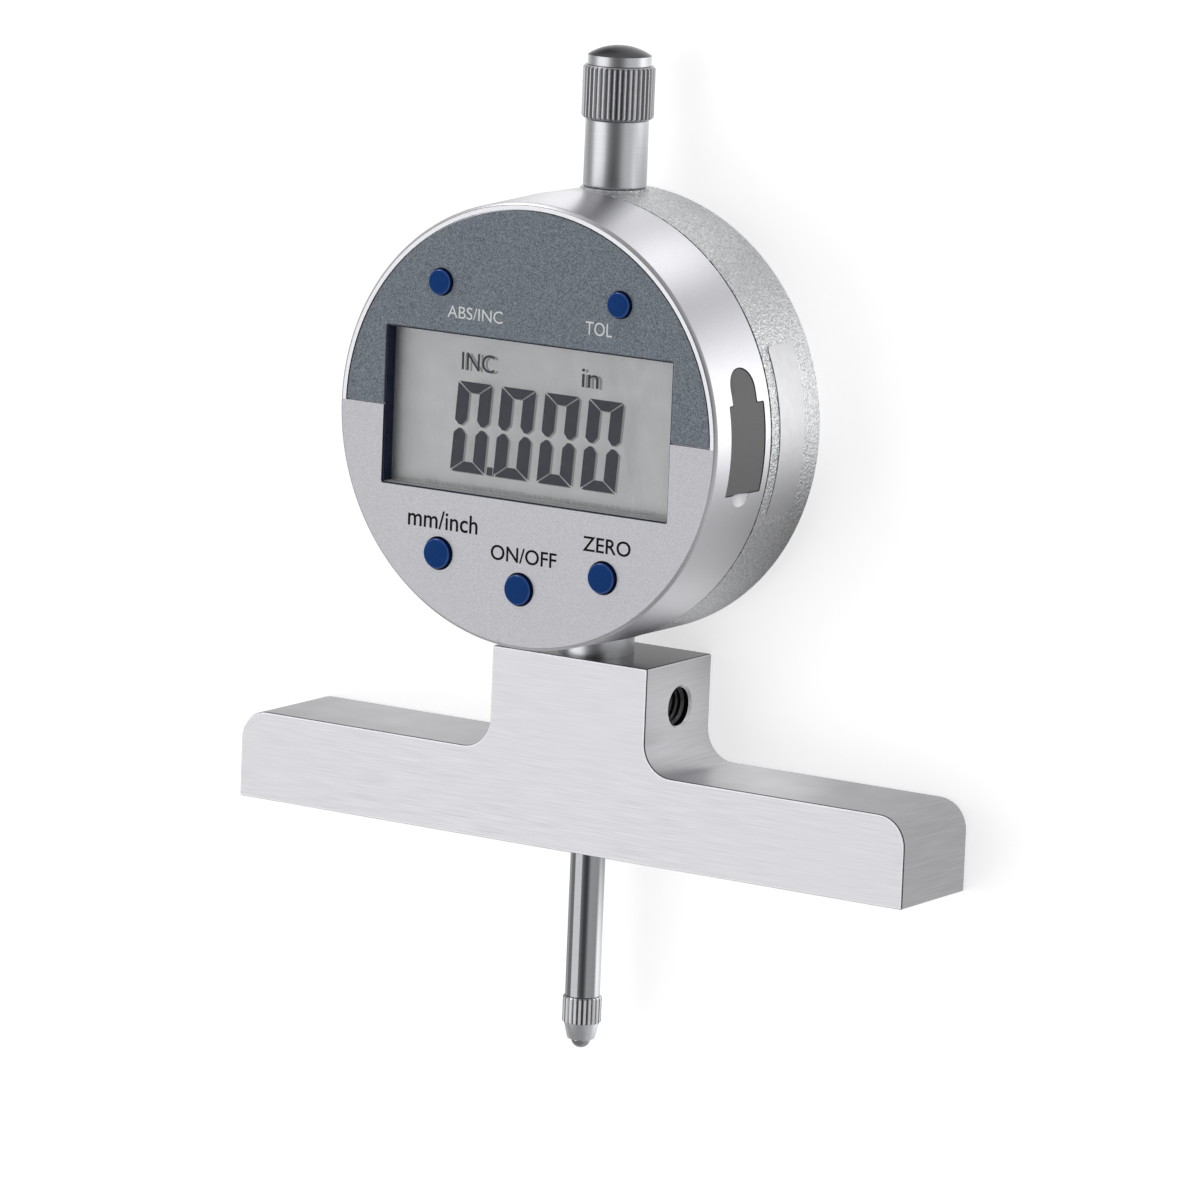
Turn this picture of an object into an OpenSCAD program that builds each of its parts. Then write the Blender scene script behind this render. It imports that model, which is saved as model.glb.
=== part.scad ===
// Digital depth gauge: an electronic indicator clamped in a T-shaped depth base.
// It lies on its back: X runs along the base, Y up the spindle, Z out of the display.
// The origin is the centre of the measuring face; all lengths are millimetres.

/* [Base] */
// Length of the measuring face
base_l = 99; // [80:1:150]
// Thickness of the base from back to front
base_t = 15; // [14:0.5:18]
// Height of the two arms
arm_h = 11.4; // [8:0.2:14]
// Width of the raised boss that holds the stem
boss_w = 23; // [20:0.5:30]
// Height of the boss above the measuring face
boss_h = 24.7; // [23:0.1:32]
// Radius between the boss and each arm
fillet_r = 4; // [1:0.5:6]
// Radius on the outer top corner of each arm
corner_r = 3.8; // [1:0.2:6]
// Diameter of the hole that the spindle leaves through
exit_hole_d = 6; // [5.4:0.1:7]
// Height of the shoulder that the stem stands on
seat_h = 7; // [6.5:0.1:9]

/* [Clamp screw] */
// Core diameter of the threaded clamp hole
clamp_core_d = 4.2; // [3.2:0.1:5]
// Diameter of the countersink at the mouth of the clamp hole
clamp_mouth_d = 5.6; // [5.2:0.1:7]
// Height of the clamp screw above the measuring face
clamp_h = 18.9; // [17:0.1:21]
// Distance of the clamp screw's centre line behind the spindle axis
clamp_behind = 1.9; // [0:0.1:2.4]
// Length of the clamp screw
clamp_screw_l = 3; // [2:0.5:5]
// Width across flats of its hexagon socket
clamp_socket_w = 2.5; // [1.5:0.5:2.5]

/* [Spindle] */
// Depth of the spindle axis behind the seam between the two halves of the case
axis_drop = 6.2; // [6:0.1:6.4]
// Diameter of the spindle
spindle_d = 4.4; // [4:0.1:4.6]
// Travel of the spindle
travel = 25.4; // [10:0.1:25.4]
// Reach of the contact below the measuring face, spindle fully out
reach = 26.2; // [20:0.1:26.2]
// Radial clearance between the spindle and its bushes
running_gap = 0.03; // [0.02:0.01:0.08]
// Length of the spindle above its carrier
spindle_tail = 26.4; // [10:0.1:26.4]

/* [Contact point] */
// Diameter of the knurled ring
contact_d = 4.95; // [4.7:0.05:5.2]
// Height of the knurled ring
contact_ring_h = 3.4; // [2:0.1:4]
// Height of the cone below the ring
contact_cone_h = 2.1; // [1:0.1:3]
// Diameter of the cone at its lower end
contact_nose_d = 3.5; // [3.2:0.1:4]
// Diameter of the measuring ball
ball_d = 2.5; // [2:0.1:3]
// Number of ridges on the ring
contact_ridges = 24; // [16:1:32]
// Length of the stud that screws into the spindle
stud_l = 5; // [3:0.5:8]
// Diameter of that stud
stud_d = 2.4; // [2:0.1:2.6]

/* [Stem and tube] */
// Outer diameter of the stem
stem_d = 9.525; // [8.4:0.005:9.525]
// Radial fit of the stem in the base and in the case
stem_fit = 0.02; // [0.01:0.01:0.05]
// Outer diameter of the two spindle bushes
bush_d = 6.4; // [6:0.1:6.8]
// Length of each bush
bush_l = 6; // [4:0.5:9]
// Length of the stem inside the case
stem_inside = 6.1; // [5.6:0.1:6.5]
// Thickness of the rubber stop on the stem
stop_t = 1.5; // [1:0.1:2.5]
// Outer diameter of the tube that takes the rising spindle
tube_d = 7.9; // [7.6:0.1:8.2]
// Bore of that tube
tube_bore = 5.2; // [4.8:0.1:5.4]
// Length of the tube that shows below the cap
tube_l = 8.5; // [6:0.1:12]
// Diameter of the tube's two reduced ends
tube_neck_d = 6.5; // [6.2:0.1:6.8]
// Height of the round seat that the tube stands on
tube_seat_up = 0.15; // [0.1:0.05:0.5]

/* [Dust cap] */
// Diameter over the ridges
cap_d = 9; // [8.6:0.1:10]
// Height of the ridged part
cap_grip_h = 6.3; // [5:0.1:8]
// Diameter of the plain part above it
cap_plain_d = 7.95; // [7.8:0.05:8.4]
// Height of the plain part
cap_plain_h = 1.35; // [0.8:0.05:3]
// Rise of the domed top
cap_dome_h = 1.4; // [0.5:0.05:2]
// Number of ridges round the cap
cap_ridges = 40; // [30:1:48]

/* [Case] */
// Diameter of the front housing where it meets the rear case
case_d = 56.2; // [56:0.1:60]
// How much smaller in radius the front housing is at the display face
front_taper = 0.4; // [0.1:0.1:0.8]
// How much smaller in radius the rear case is than the front housing
rear_step = 0.05; // [0:0.05:0.3]
// Depth of the front housing
front_depth = 11.9; // [11.6:0.1:12.2]
// Depth of the rear case
rear_depth = 12.3; // [11.8:0.1:13]
// Gap between the base and the case
neck_gap = 2.2; // [1:0.1:6]
// Thickness of the gasket between the two halves
gasket_t = 0.3; // [0.2:0.05:0.5]
// Wall behind the display face
face_wall = 1.6; // [1.4:0.1:1.7]
// Side wall of the front housing
front_side_wall = 2.1; // [1.8:0.1:2.2]
// Side wall of the rear case
rear_side_wall = 3.05; // [2.8:0.05:3.3]
// Back wall of the rear case
rear_floor = 2; // [1.8:0.1:2.2]
// Bevel on the rear case's back edge
rear_bevel = 1.2; // [0.4:0.1:1.6]
// Diameter of the back plate
back_plate_d = 49; // [47:0.5:51]
// Width of the seat that the back plate rests on, round the service opening
plate_seat_w = 6; // [5:0.5:8]
// Thickness of the back plate
back_plate_t = 2.5; // [2.2:0.1:2.8]

/* [Display] */
// Width of the face between the window and the case's edge, on either side
window_side = 7; // [6.8:0.1:9]
// Height of the display window
window_h = 19.9; // [17:0.1:20]
// Height of the window's centre above the case's centre
window_up = 0.55; // [0:0.05:0.7]
// Depth of the display glass below the face
window_depth = 2; // [1.8:0.1:2.1]
// Thickness of the lining that shows round the window
lining_t = 0.2; // [0.15:0.05:0.6]
// Thickness of the display glass
lcd_t = 1.8; // [1.4:0.1:1.9]
// Thickness of the clear window
lens_t = 0.8; // [0.5:0.1:1.2]
// Width of the rim round the grey inlay
inlay_rim = 1.05; // [0.9:0.05:3]
// Thickness of the inlay
inlay_t = 0.5; // [0.3:0.1:0.8]
// Gap round the inlay
inlay_gap = 0.15; // [0.1:0.05:0.3]
// Height of the inlay's straight edge above the case's centre
inlay_edge_up = 0.55; // [-2:0.05:3]

/* [Buttons] */
// Diameter of the two upper buttons
upper_cap_d = 3.2; // [2.8:0.1:3.6]
// Diameter of the three lower buttons
lower_cap_d = 3.8; // [3.2:0.1:4]
// Distance of the upper buttons from the case's edge
upper_in = 6.95; // [6.8:0.05:7.2]
// Angle of the upper buttons to either side of the top
upper_angle = 38.3; // [36:0.1:41]
// Distance of the outer lower buttons from the case's edge
lower_in = 7.05; // [6.9:0.05:7.4]
// Angle of the outer lower buttons to either side of the bottom
lower_angle = 35.2; // [34:0.1:37]
// Distance of the middle button from the case's edge
middle_in = 7.9; // [7.6:0.1:8.4]
// Height that the buttons stand above the face
button_out = 0.7; // [0.6:0.1:1.5]
// Travel of a button
button_press = 0.5; // [0.2:0.05:0.5]
// Radial gap between a button and its hole
button_gap = 0.2; // [0.1:0.05:0.3]

/* [Battery] */
// Diameter of the button cell
cell_d = 11.6; // [10:0.1:11.6]
// Thickness of the button cell
cell_t = 4.2; // [2:0.1:4.2]
// Height of the battery hatch's square part
hatch_h = 11; // [10.8:0.1:11.2]
// Width of the battery hatch across the case
hatch_w = 7.2; // [7:0.1:7.4]
// Width of the hatch's round-ended tongue
tongue_w = 5; // [4.8:0.1:5.4]
// Length of the tongue
tongue_l = 4.3; // [4:0.1:4.3]
// Drop of the hatch's lower edge below the case's centre
hatch_drop = 5.7; // [5.6:0.1:5.9]
// Depth of the hatch's front edge below the display face
hatch_depth = 3.4; // [3.3:0.1:3.5]
// Clearance all round the hatch
hatch_gap = 0.12; // [0.08:0.02:0.2]
// Radius of the fingernail notch
notch_r = 1.85; // [1:0.05:2.2]

/* [Electronics] */
// Depth of the circuit board's front below the display face
board_depth = 5.9; // [5.8:0.1:6.1]
// Thickness of the circuit board
board_t = 1.6; // [1.2:0.1:1.6]
// Gap between the circuit board and the front housing's wall
board_gap = 1.5; // [1.2:0.1:1.8]
// Thickness of the fixed scale
stator_t = 1; // [0.6:0.1:1]
// Gap between the fixed and the moving scale
scale_gap = 0.2; // [0.1:0.05:0.4]
// Thickness of the moving scale
mover_t = 0.6; // [0.4:0.1:0.8]
// Height of the carrier block on the spindle
carrier_h = 10; // [9:0.5:10]

/* [Return spring] */
// Wire diameter of the return spring
wire_d = 0.4; // [0.3:0.05:0.5]
// Mean diameter of the return spring
coil_d = 5.9; // [5.6:0.1:6.2]
// Number of turns
coil_turns = 11; // [6:1:12]

/* [Label] */
// Width of the bare label on the rear case
label_w = 5.7; // [3:0.1:6]
// Angle that the label covers round the case
label_angle = 44; // [20:1:60]
// Thickness of the label
label_t = 0.12; // [0.08:0.02:0.2]

/* [Hidden] */
$fn = 96;
over = 1;                       // how far a cutter runs past what it cuts
face_gap = 0.05;                // gap between faces that slide or rest on each other

// Heights above the origin plane, from the back of the gauge to its face
back_z = -base_t / 2;
plate_z = back_z + back_plate_t;
floor_z = plate_z + rear_floor;
rear_top_z = plate_z + rear_depth;
seam_z = rear_top_z + gasket_t;
axis_z = seam_z - axis_drop;
face_z = seam_z + front_depth;
wall_z = face_z - face_wall;
glass_z = face_z - window_depth;
lcd_back_z = glass_z - lcd_t;
board_z = face_z - board_depth;
board_back_z = board_z - board_t;
stator_z = board_back_z - stator_t;
mover_z = stator_z - scale_gap - mover_t;

// Radii
stem_r = stem_d / 2;
spindle_r = spindle_d / 2;
bush_r = bush_d / 2;
case_r = case_d / 2;
front_r = case_r - front_taper;
rear_r = case_r - rear_step;
rear_in_r = rear_r - rear_side_wall;
front_in_r = case_r - front_side_wall;
board_r = front_in_r - board_gap;
inlay_r = front_r - inlay_rim;
service_r = back_plate_d / 2 - plate_seat_w;
lip_r = front_in_r - 0.1;
lip_h = 1.4;
rim_bevel = 0.4;
post_root = 0.5;
notch_depth = 1.5;
press_gap = 0.01;               // radial gap of pieces pressed or glued together
clamp_nose_h = 0.3;
clamp_socket_depth = 1.6;

// Stations along the spindle
case_y = boss_h + neck_gap + case_d / 2;
case_low_y = case_y - rear_r;
stem_top_y = case_low_y + stem_inside;
carrier_y = stem_top_y + stop_t + face_gap;
carrier_top_y = carrier_y + carrier_h;
spindle_top_y = carrier_top_y + spindle_tail;
tube_y = case_y + rear_r + tube_seat_up;
tube_boss_h = 4;
tube_foot_y = tube_y - tube_boss_h;
cap_y = tube_y + tube_l + face_gap;
cap_grip_top_y = cap_y + cap_grip_h;
cap_plain_top_y = cap_grip_top_y + cap_plain_h;
ball_y = ball_d / 2 - reach;
nose_y = ball_y;
ring_y = nose_y + contact_cone_h;
ring_top_y = ring_y + contact_ring_h;

// Display parts
window_w = 2 * (case_r - window_side);
frame_side = 1.5;
frame_end = 1.25;
lcd_margin = 0.6;
strip_w = 1.2;
strip_end = 5;
frame_w = window_w + 2 * frame_side;
frame_h = window_h + 2 * frame_end;
lcd_w = frame_w - 2 * lcd_margin;
lcd_h = frame_h - 2 * lcd_margin;
strip_l = lcd_w - 2 * strip_end;

// Case screws and the posts they run through
case_post_x = 6.8;
case_post_r = 2;
case_post_y = rear_in_r - case_post_r - 2.3;
case_screw_r = 0.95;
case_head_r = 1.7;
case_head_h = 1.2;
case_head_sink = 1.4;
case_screw_bite = 5;
// Back plate screws
plate_screw_ring_r = back_plate_d / 2 - plate_seat_w / 2 + 0.1;
plate_screw_angle = 40;
plate_boss_r = 1.9;
plate_boss_h = 3;
plate_screw_r = 0.8;
plate_head_r = 1.6;
plate_head_h = 0.9;
// Circuit board screws
board_boss_r = 1.6;
board_screw_up = window_up + frame_h / 2 + board_boss_r + 0.25;
board_screw_down = frame_h / 2 - window_up + board_boss_r + 0.75;
board_screw_ring_r = front_in_r - board_boss_r - 0.6;
board_screw_bite = 2.4;
board_screw_r = 0.7;
board_head_r = 1.3;
board_head_h = 0.7;
screw_gap = 0.05;
screw_end_gap = 0.6;

// Guide rod of the carrier
rod_x = -12;
rod_r = 1;
rod_lug_r = 2.4;
rod_lug_h = 3;
rod_seat = 2;
rod_wall_y = sqrt(rear_in_r * rear_in_r - rod_x * rod_x);
rod_lug_gap = 1;
rod_low_y = case_y - rod_wall_y;
rod_high_y = case_y + rod_wall_y;
// Scales, chip and carrier
mover_w = 8.4;
mover_l = 12;
mover_y = carrier_y + 1.2;
stator_w = 8.6;
scale_overlap = 1;
chip_w = 9;
chip_t = 1.2;
chip_in = 5;
chip_far_x = board_r - chip_in;
carrier_w = 8;
carrier_back = 3;
arm_y = rod_low_y + rod_lug_h + rod_lug_gap;
arm_t = 4;
arm_w = 2.8;

// Switches and buttons
switch_w = 3.6;
switch_h = 1.3;
switch_pin_r = 0.9;
switch_pin_h = 0.2;
flange_t = 1;
flange_more = 0.6;
plunger_r = 1;

// Battery parts
hatch_top_z = face_z - hatch_depth;
hatch_low_z = hatch_top_z - hatch_w;
tongue_z = hatch_low_z + hatch_w / 2 + 0.3;
tray_l = 15.2;
tray_in_x = case_r - tray_l;
tray_top_z = hatch_top_z - 1.1;
tray_end_wall = 0.8;
tray_floor = 1.5;
cover_sink = 0.06;
tray_root = 0.5;
cell_gap = 0.1;
cell_x = tray_in_x + tray_end_wall + cell_gap + cell_d / 2;
cell_y = cell_d / 2 + 0.8 - hatch_drop;
cell_z = hatch_low_z + tray_floor;
contact_strip_t = 0.15;
contact_strip_w = 2.4;
contact_reach = 6;
contact_pad_l = 2;
tray_slot_w = contact_strip_w + 0.8;
board_cut_gap = 0.7;

// Frame helpers
module at_case() { translate([0, case_y, 0]) children(); }
module on_axis(y) { translate([0, y, axis_z]) rotate([-90, 0, 0]) children(); }
module facing_x(x) { translate([x, case_y, 0]) rotate([90, 0, 90]) children(); }
module at_case_posts() {
    for (x = [-1, 1], y = [-1, 1])
        translate([x * case_post_x, case_y + y * case_post_y, 0]) children();
}
module at_plate_screws() {
    for (x = [-1, 1], y = [-1, 1])
        translate([x * plate_screw_ring_r * cos(plate_screw_angle),
            case_y + y * plate_screw_ring_r * sin(plate_screw_angle), 0]) children();
}
module at_board_screws() {
    for (x = [-1, 1], y = [board_screw_up, -board_screw_down])
        translate([x * sqrt(board_screw_ring_r * board_screw_ring_r - y * y), case_y + y, 0])
            children();
}
// Each button: distance from the case's edge, angle round from the top, cap diameter
button_rows = [
    [upper_in, -upper_angle, upper_cap_d], [upper_in, upper_angle, upper_cap_d],
    [lower_in, 180 + lower_angle, lower_cap_d], [middle_in, 180, lower_cap_d],
    [lower_in, 180 - lower_angle, lower_cap_d]];
button_places = [for (b = button_rows)
    [(case_r - b[0]) * sin(b[1]), (case_r - b[0]) * cos(b[1]), b[2]]];
module at_button(i) {
    translate([button_places[i][0], case_y + button_places[i][1], 0]) children();
}

// Ridged outline: flat-topped ridges with valleys between them
module ridged(r, ridges, depth) {
    pitch = 360 / ridges;
    polygon([for (i = [0:ridges - 1], k = [0:3])
        let (a = (i + [0, 0.22, 0.5, 0.72][k]) * pitch, d = [0, 0, depth, depth][k])
            [(r - d) * cos(a), (r - d) * sin(a)]]);
}

// T-shaped outline of the base
module base_outline() {
    difference() {
        union() {
            translate([-base_l / 2, 0]) square([base_l, arm_h]);
            translate([-boss_w / 2, 0]) square([boss_w, boss_h]);
            for (s = [-1, 1]) difference() {
                translate([s > 0 ? boss_w / 2 - over : -boss_w / 2 - fillet_r, arm_h - over])
                    square([fillet_r + over, fillet_r + over]);
                translate([s * (boss_w / 2 + fillet_r), arm_h + fillet_r]) circle(fillet_r);
            }
        }
        for (s = [-1, 1]) difference() {
            translate([s > 0 ? base_l / 2 - corner_r : -base_l / 2 - over, arm_h - corner_r])
                square([corner_r + over, corner_r + over]);
            translate([s * (base_l / 2 - corner_r), arm_h - corner_r]) circle(corner_r);
        }
    }
}
module base_block() color("silver") difference() {
    translate([0, 0, back_z]) linear_extrude(base_t) base_outline();
    on_axis(seat_h) cylinder(h = boss_h, r = stem_r + stem_fit);
    on_axis(-over) cylinder(h = seat_h + 2 * over, r = exit_hole_d / 2);
    translate([0, clamp_h, axis_z - clamp_behind]) rotate([0, 90, 0]) {
        cylinder(h = boss_w, r = clamp_core_d / 2);
        translate([0, 0, boss_w / 2 - (clamp_mouth_d - clamp_core_d) / 2])
            cylinder(h = (clamp_mouth_d - clamp_core_d) / 2, r1 = clamp_core_d / 2,
                r2 = clamp_mouth_d / 2);
    }
}
// The screw's flat nose bears on the side of the stem
module clamp_screw() color("dimgray")
    translate([stem_r + stem_fit, clamp_h, axis_z - clamp_behind]) rotate([0, 90, 0]) difference() {
        union() {
            cylinder(h = clamp_nose_h, r1 = clamp_core_d / 2 - 0.7, r2 = clamp_core_d / 2 - 0.4);
            translate([0, 0, clamp_nose_h])
                cylinder(h = clamp_screw_l, r = clamp_core_d / 2 - press_gap);
        }
        translate([0, 0, clamp_nose_h + clamp_screw_l - clamp_socket_depth])
            cylinder(h = clamp_screw_l, r = clamp_socket_w / sqrt(3), $fn = 6);
    }

// Turned stem with a bush pressed into each end
module stem() color("gainsboro") on_axis(seat_h) difference() {
    union() {
        cylinder(h = 0.4, r1 = stem_r - 0.4, r2 = stem_r);
        translate([0, 0, 0.4]) cylinder(h = stem_top_y - seat_h - 0.4, r = stem_r);
    }
    translate([0, 0, -over]) cylinder(h = stem_top_y, r = bush_r);
}
module bush(y) on_axis(y) difference() {
    cylinder(h = bush_l, r = bush_r - press_gap);
    translate([0, 0, -over]) cylinder(h = bush_l + 2 * over, r = spindle_r + running_gap);
}
module lower_bush() color("peru") bush(seat_h);
module upper_bush() color("peru") bush(stem_top_y - bush_l);
module stop_washer() color("#222222") on_axis(stem_top_y) difference() {
    cylinder(h = stop_t, r = stem_r - 0.6);
    translate([0, 0, -over]) cylinder(h = stop_t + 2 * over, r = spindle_r + 0.2);
}

// Rear case: a turned shell with cast seats for the stem, tube, guide rod and screws
module rear_shell() {
    at_case() rotate_extrude() polygon([
        [service_r, plate_z], [rear_r - rear_bevel, plate_z],
        [rear_r, plate_z + rear_bevel], [rear_r, rear_top_z], [lip_r, rear_top_z],
        [lip_r, rear_top_z + lip_h], [rear_in_r, rear_top_z + lip_h],
        [rear_in_r, floor_z], [service_r, floor_z]]);
}
module rear_seats() {
    on_axis(case_low_y) cylinder(h = stem_inside - 1.5, r = stem_r + 1.6);
    on_axis(tube_foot_y) cylinder(h = tube_boss_h, r = tube_d / 2 + 1.8);
    at_case_posts() translate([0, 0, plate_z]) cylinder(h = rear_top_z - plate_z, r = case_post_r);
    at_plate_screws() translate([0, 0, plate_z])
        cylinder(h = rear_floor + plate_boss_h, r = plate_boss_r);
    translate([rod_x, 0, 0]) {
        on_axis(rod_low_y - rod_seat) cylinder(h = rod_seat + rod_lug_h, r = rod_lug_r);
        on_axis(rod_high_y - rod_lug_h) cylinder(h = rod_seat + rod_lug_h, r = rod_lug_r);
    }
}
module rear_case() color("lightgray") difference() {
    union() {
        rear_shell();
        intersection() {
            at_case() translate([0, 0, plate_z])
                cylinder(h = rear_top_z - plate_z, r = rear_r - rear_side_wall / 2);
            rear_seats();
        }
        on_axis(tube_foot_y + 1) cylinder(h = tube_y - tube_foot_y - 1, r = tube_d / 2 + 0.3);
    }
    on_axis(case_low_y - over) cylinder(h = stem_inside + 2 * over, r = stem_r + stem_fit);
    facing_x(rear_in_r - rear_side_wall) linear_extrude(case_r) keyhole(hatch_gap);
    on_axis(tube_foot_y - over)
        cylinder(h = tube_boss_h + 2 * over, r = tube_neck_d / 2 + stem_fit);
    translate([rod_x, 0, 0])
        on_axis(rod_low_y) cylinder(h = rod_high_y - rod_low_y, r = rod_r + press_gap);
    at_case_posts() {
        translate([0, 0, plate_z - over])
            cylinder(h = rear_top_z - plate_z + 2 * over, r = case_screw_r + screw_gap);
        translate([0, 0, plate_z - over])
            cylinder(h = case_head_sink + over, r = case_head_r + 0.1);
    }
    at_plate_screws() translate([0, 0, plate_z - over])
        cylinder(h = rear_floor + plate_boss_h - 0.6 + over, r = plate_screw_r + screw_gap);
}
module back_plate() color("silver") difference() {
    at_case() rotate_extrude() polygon([
        [0, back_z], [back_plate_d / 2 - 0.6, back_z], [back_plate_d / 2, back_z + 0.6],
        [back_plate_d / 2, plate_z], [0, plate_z]]);
    at_plate_screws() translate([0, 0, back_z - over]) {
        cylinder(h = back_plate_t + 2 * over, r = plate_screw_r + screw_gap);
        cylinder(h = plate_head_h + 0.2 + over, r = plate_head_r + 0.1);
    }
}
module back_plate_screws() color("dimgray") at_plate_screws()
    translate([0, 0, back_z + 0.2]) difference() {
        union() {
            cylinder(h = plate_head_h, r = plate_head_r);
            cylinder(h = back_plate_t + rear_floor + plate_boss_h - 1.4, r = plate_screw_r);
        }
        for (a = [0, 90]) rotate([0, 0, a])
            translate([-1, -0.2, -over]) cube([2, 0.4, over + 0.45]);
    }
module case_screws() color("dimgray") at_case_posts()
    translate([0, 0, plate_z + case_head_sink - case_head_h]) difference() {
        union() {
            cylinder(h = case_head_h, r = case_head_r);
            cylinder(h = seam_z + case_screw_bite - plate_z - case_head_sink, r = case_screw_r);
        }
        for (a = [0, 90]) rotate([0, 0, a])
            translate([-1.1, -0.22, -over]) cube([2.2, 0.44, over + 0.5]);
    }
module case_gasket() color("#202020") at_case() translate([0, 0, rear_top_z])
    difference() {
        cylinder(h = gasket_t, r = rear_r - 0.35);
        translate([0, 0, -over]) cylinder(h = gasket_t + 2 * over, r = lip_r + 0.05);
    }

// Keyhole outline of the battery hatch: Y across the page, Z up the page
module keyhole(grow) {
    translate([-hatch_drop - grow, hatch_low_z - grow])
        square([hatch_h + 2 * grow, hatch_w + 2 * grow]);
    translate([hatch_h - hatch_drop, tongue_z - tongue_w / 2 - grow])
        square([tongue_l - tongue_w / 2, tongue_w + 2 * grow]);
    translate([hatch_h - hatch_drop + tongue_l - tongue_w / 2, tongue_z])
        circle(tongue_w / 2 + grow);
}
// Half-round grey inlay outline
module inlay_outline(grow) intersection() {
    circle(inlay_r + grow);
    translate([-case_r, inlay_edge_up - grow]) square([case_d, case_r]);
}
module window_outline(grow) translate([0, window_up])
    square([window_w + 2 * grow, window_h + 2 * grow], center = true);

// Front housing: face, side wall, window, button holes, hatch and inner posts
module front_housing() color("gainsboro") difference() {
    union() {
        at_case() rotate_extrude() polygon([
            [front_in_r, seam_z], [case_r, seam_z], [front_r, face_z - rim_bevel],
            [front_r - rim_bevel, face_z], [0, face_z], [0, wall_z], [front_in_r, wall_z]]);
        at_case_posts() translate([0, 0, seam_z])
            cylinder(h = wall_z - seam_z + post_root, r = case_post_r);
        at_board_screws() translate([0, 0, board_z])
            cylinder(h = wall_z - board_z + post_root, r = board_boss_r);
    }
    at_case() translate([0, 0, wall_z - over])
        linear_extrude(face_wall + 2 * over) window_outline(0);
    at_case() translate([0, 0, face_z - inlay_t])
        linear_extrude(inlay_t + over) inlay_outline(inlay_gap);
    for (i = [0:4]) at_button(i) translate([0, 0, wall_z - over])
        cylinder(h = face_wall + 2 * over, r = button_places[i][2] / 2 + button_gap);
    facing_x(front_in_r - front_side_wall) linear_extrude(case_r) keyhole(hatch_gap);
    facing_x(case_r - notch_depth) translate([-hatch_drop, tongue_z, 0])
        cylinder(h = case_r, r = notch_r);
    at_case_posts() translate([0, 0, seam_z - over])
        cylinder(h = case_screw_bite + screw_end_gap + over, r = case_screw_r + screw_gap);
    at_board_screws() translate([0, 0, board_z - over])
        cylinder(h = board_screw_bite + screw_end_gap + over, r = board_screw_r + screw_gap);
}
module face_inlay() color("slategray") at_case() translate([0, 0, face_z - inlay_t])
    difference() {
        linear_extrude(inlay_t) difference() {
            inlay_outline(0);
            window_outline(0);
        }
        for (i = [0, 1]) translate([button_places[i][0], button_places[i][1], -over])
            cylinder(h = inlay_t + 2 * over, r = upper_cap_d / 2 + button_gap);
    }

// Display stack: lined frame, clear window, display glass and rubber contact strips
module plate_at(w, h, z, t) at_case() translate([-w / 2, window_up - h / 2, z]) cube([w, h, t]);
module lcd_frame() color("midnightblue") difference() {
    union() {
        plate_at(frame_w, frame_h, lcd_back_z, wall_z - lcd_back_z);
        plate_at(window_w - 0.1, window_h - 0.1, wall_z - 0.1, face_wall - 0.1);
    }
    plate_at(lcd_w + 0.1, lcd_h + 0.1, lcd_back_z - over, lcd_t + over);
    plate_at(window_w - 2 * lining_t, window_h - 2 * lining_t, lcd_back_z, front_depth);
}
module window_lens() color("white", 0.3)
    plate_at(window_w - 2 * lining_t - 0.1, window_h - 2 * lining_t - 0.1, glass_z, lens_t);
module lcd_panel() color("darkgray") plate_at(lcd_w, lcd_h, lcd_back_z, lcd_t);
module contact_strip(side) at_case()
    translate([-strip_l / 2, window_up + side * (lcd_h / 2 - strip_w / 2) - strip_w / 2, board_z])
        cube([strip_l, strip_w, lcd_back_z - board_z]);
module upper_contact_strip() color("#303030") contact_strip(1);
module lower_contact_strip() color("#303030") contact_strip(-1);

// Circuit board with room for the case posts and the battery tray
module main_board() color("darkgreen") difference() {
    at_case() translate([0, 0, board_back_z]) cylinder(h = board_t, r = board_r);
    at_case_posts() translate([0, 0, board_back_z - over])
        cylinder(h = board_t + 2 * over, r = case_post_r + 0.2);
    at_board_screws() translate([0, 0, board_back_z - over])
        cylinder(h = board_t + 2 * over, r = board_screw_r + screw_gap);
    translate([tray_in_x - board_cut_gap, case_y - hatch_drop - board_cut_gap / 2,
        board_back_z - over])
        cube([board_r, hatch_h + tongue_l + board_cut_gap, board_t + 2 * over]);
}
module board_screws() color("dimgray") at_board_screws()
    translate([0, 0, board_back_z - board_head_h]) difference() {
        union() {
            cylinder(h = board_head_h, r = board_head_r);
            cylinder(h = board_head_h + board_t + board_screw_bite, r = board_screw_r);
        }
        translate([-1, -0.18, -over]) cube([2, 0.36, over + 0.3]);
    }
module stator_board() color("olivedrab")
    translate([-stator_w / 2, mover_y + scale_overlap, stator_z])
        cube([stator_w, travel + mover_l - 2 * scale_overlap, stator_t]);
module controller_chip() color("#181818")
    translate([-chip_far_x, case_y - chip_w / 2, board_back_z - chip_t]) cube([chip_w, chip_w, chip_t]);
module button_switches() color("#404040") for (i = [0:4]) at_button(i) {
    translate([-switch_w / 2, -switch_w / 2, board_z]) cube([switch_w, switch_w, switch_h]);
    translate([0, 0, board_z]) cylinder(h = switch_h + switch_pin_h, r = switch_pin_r);
}

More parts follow.
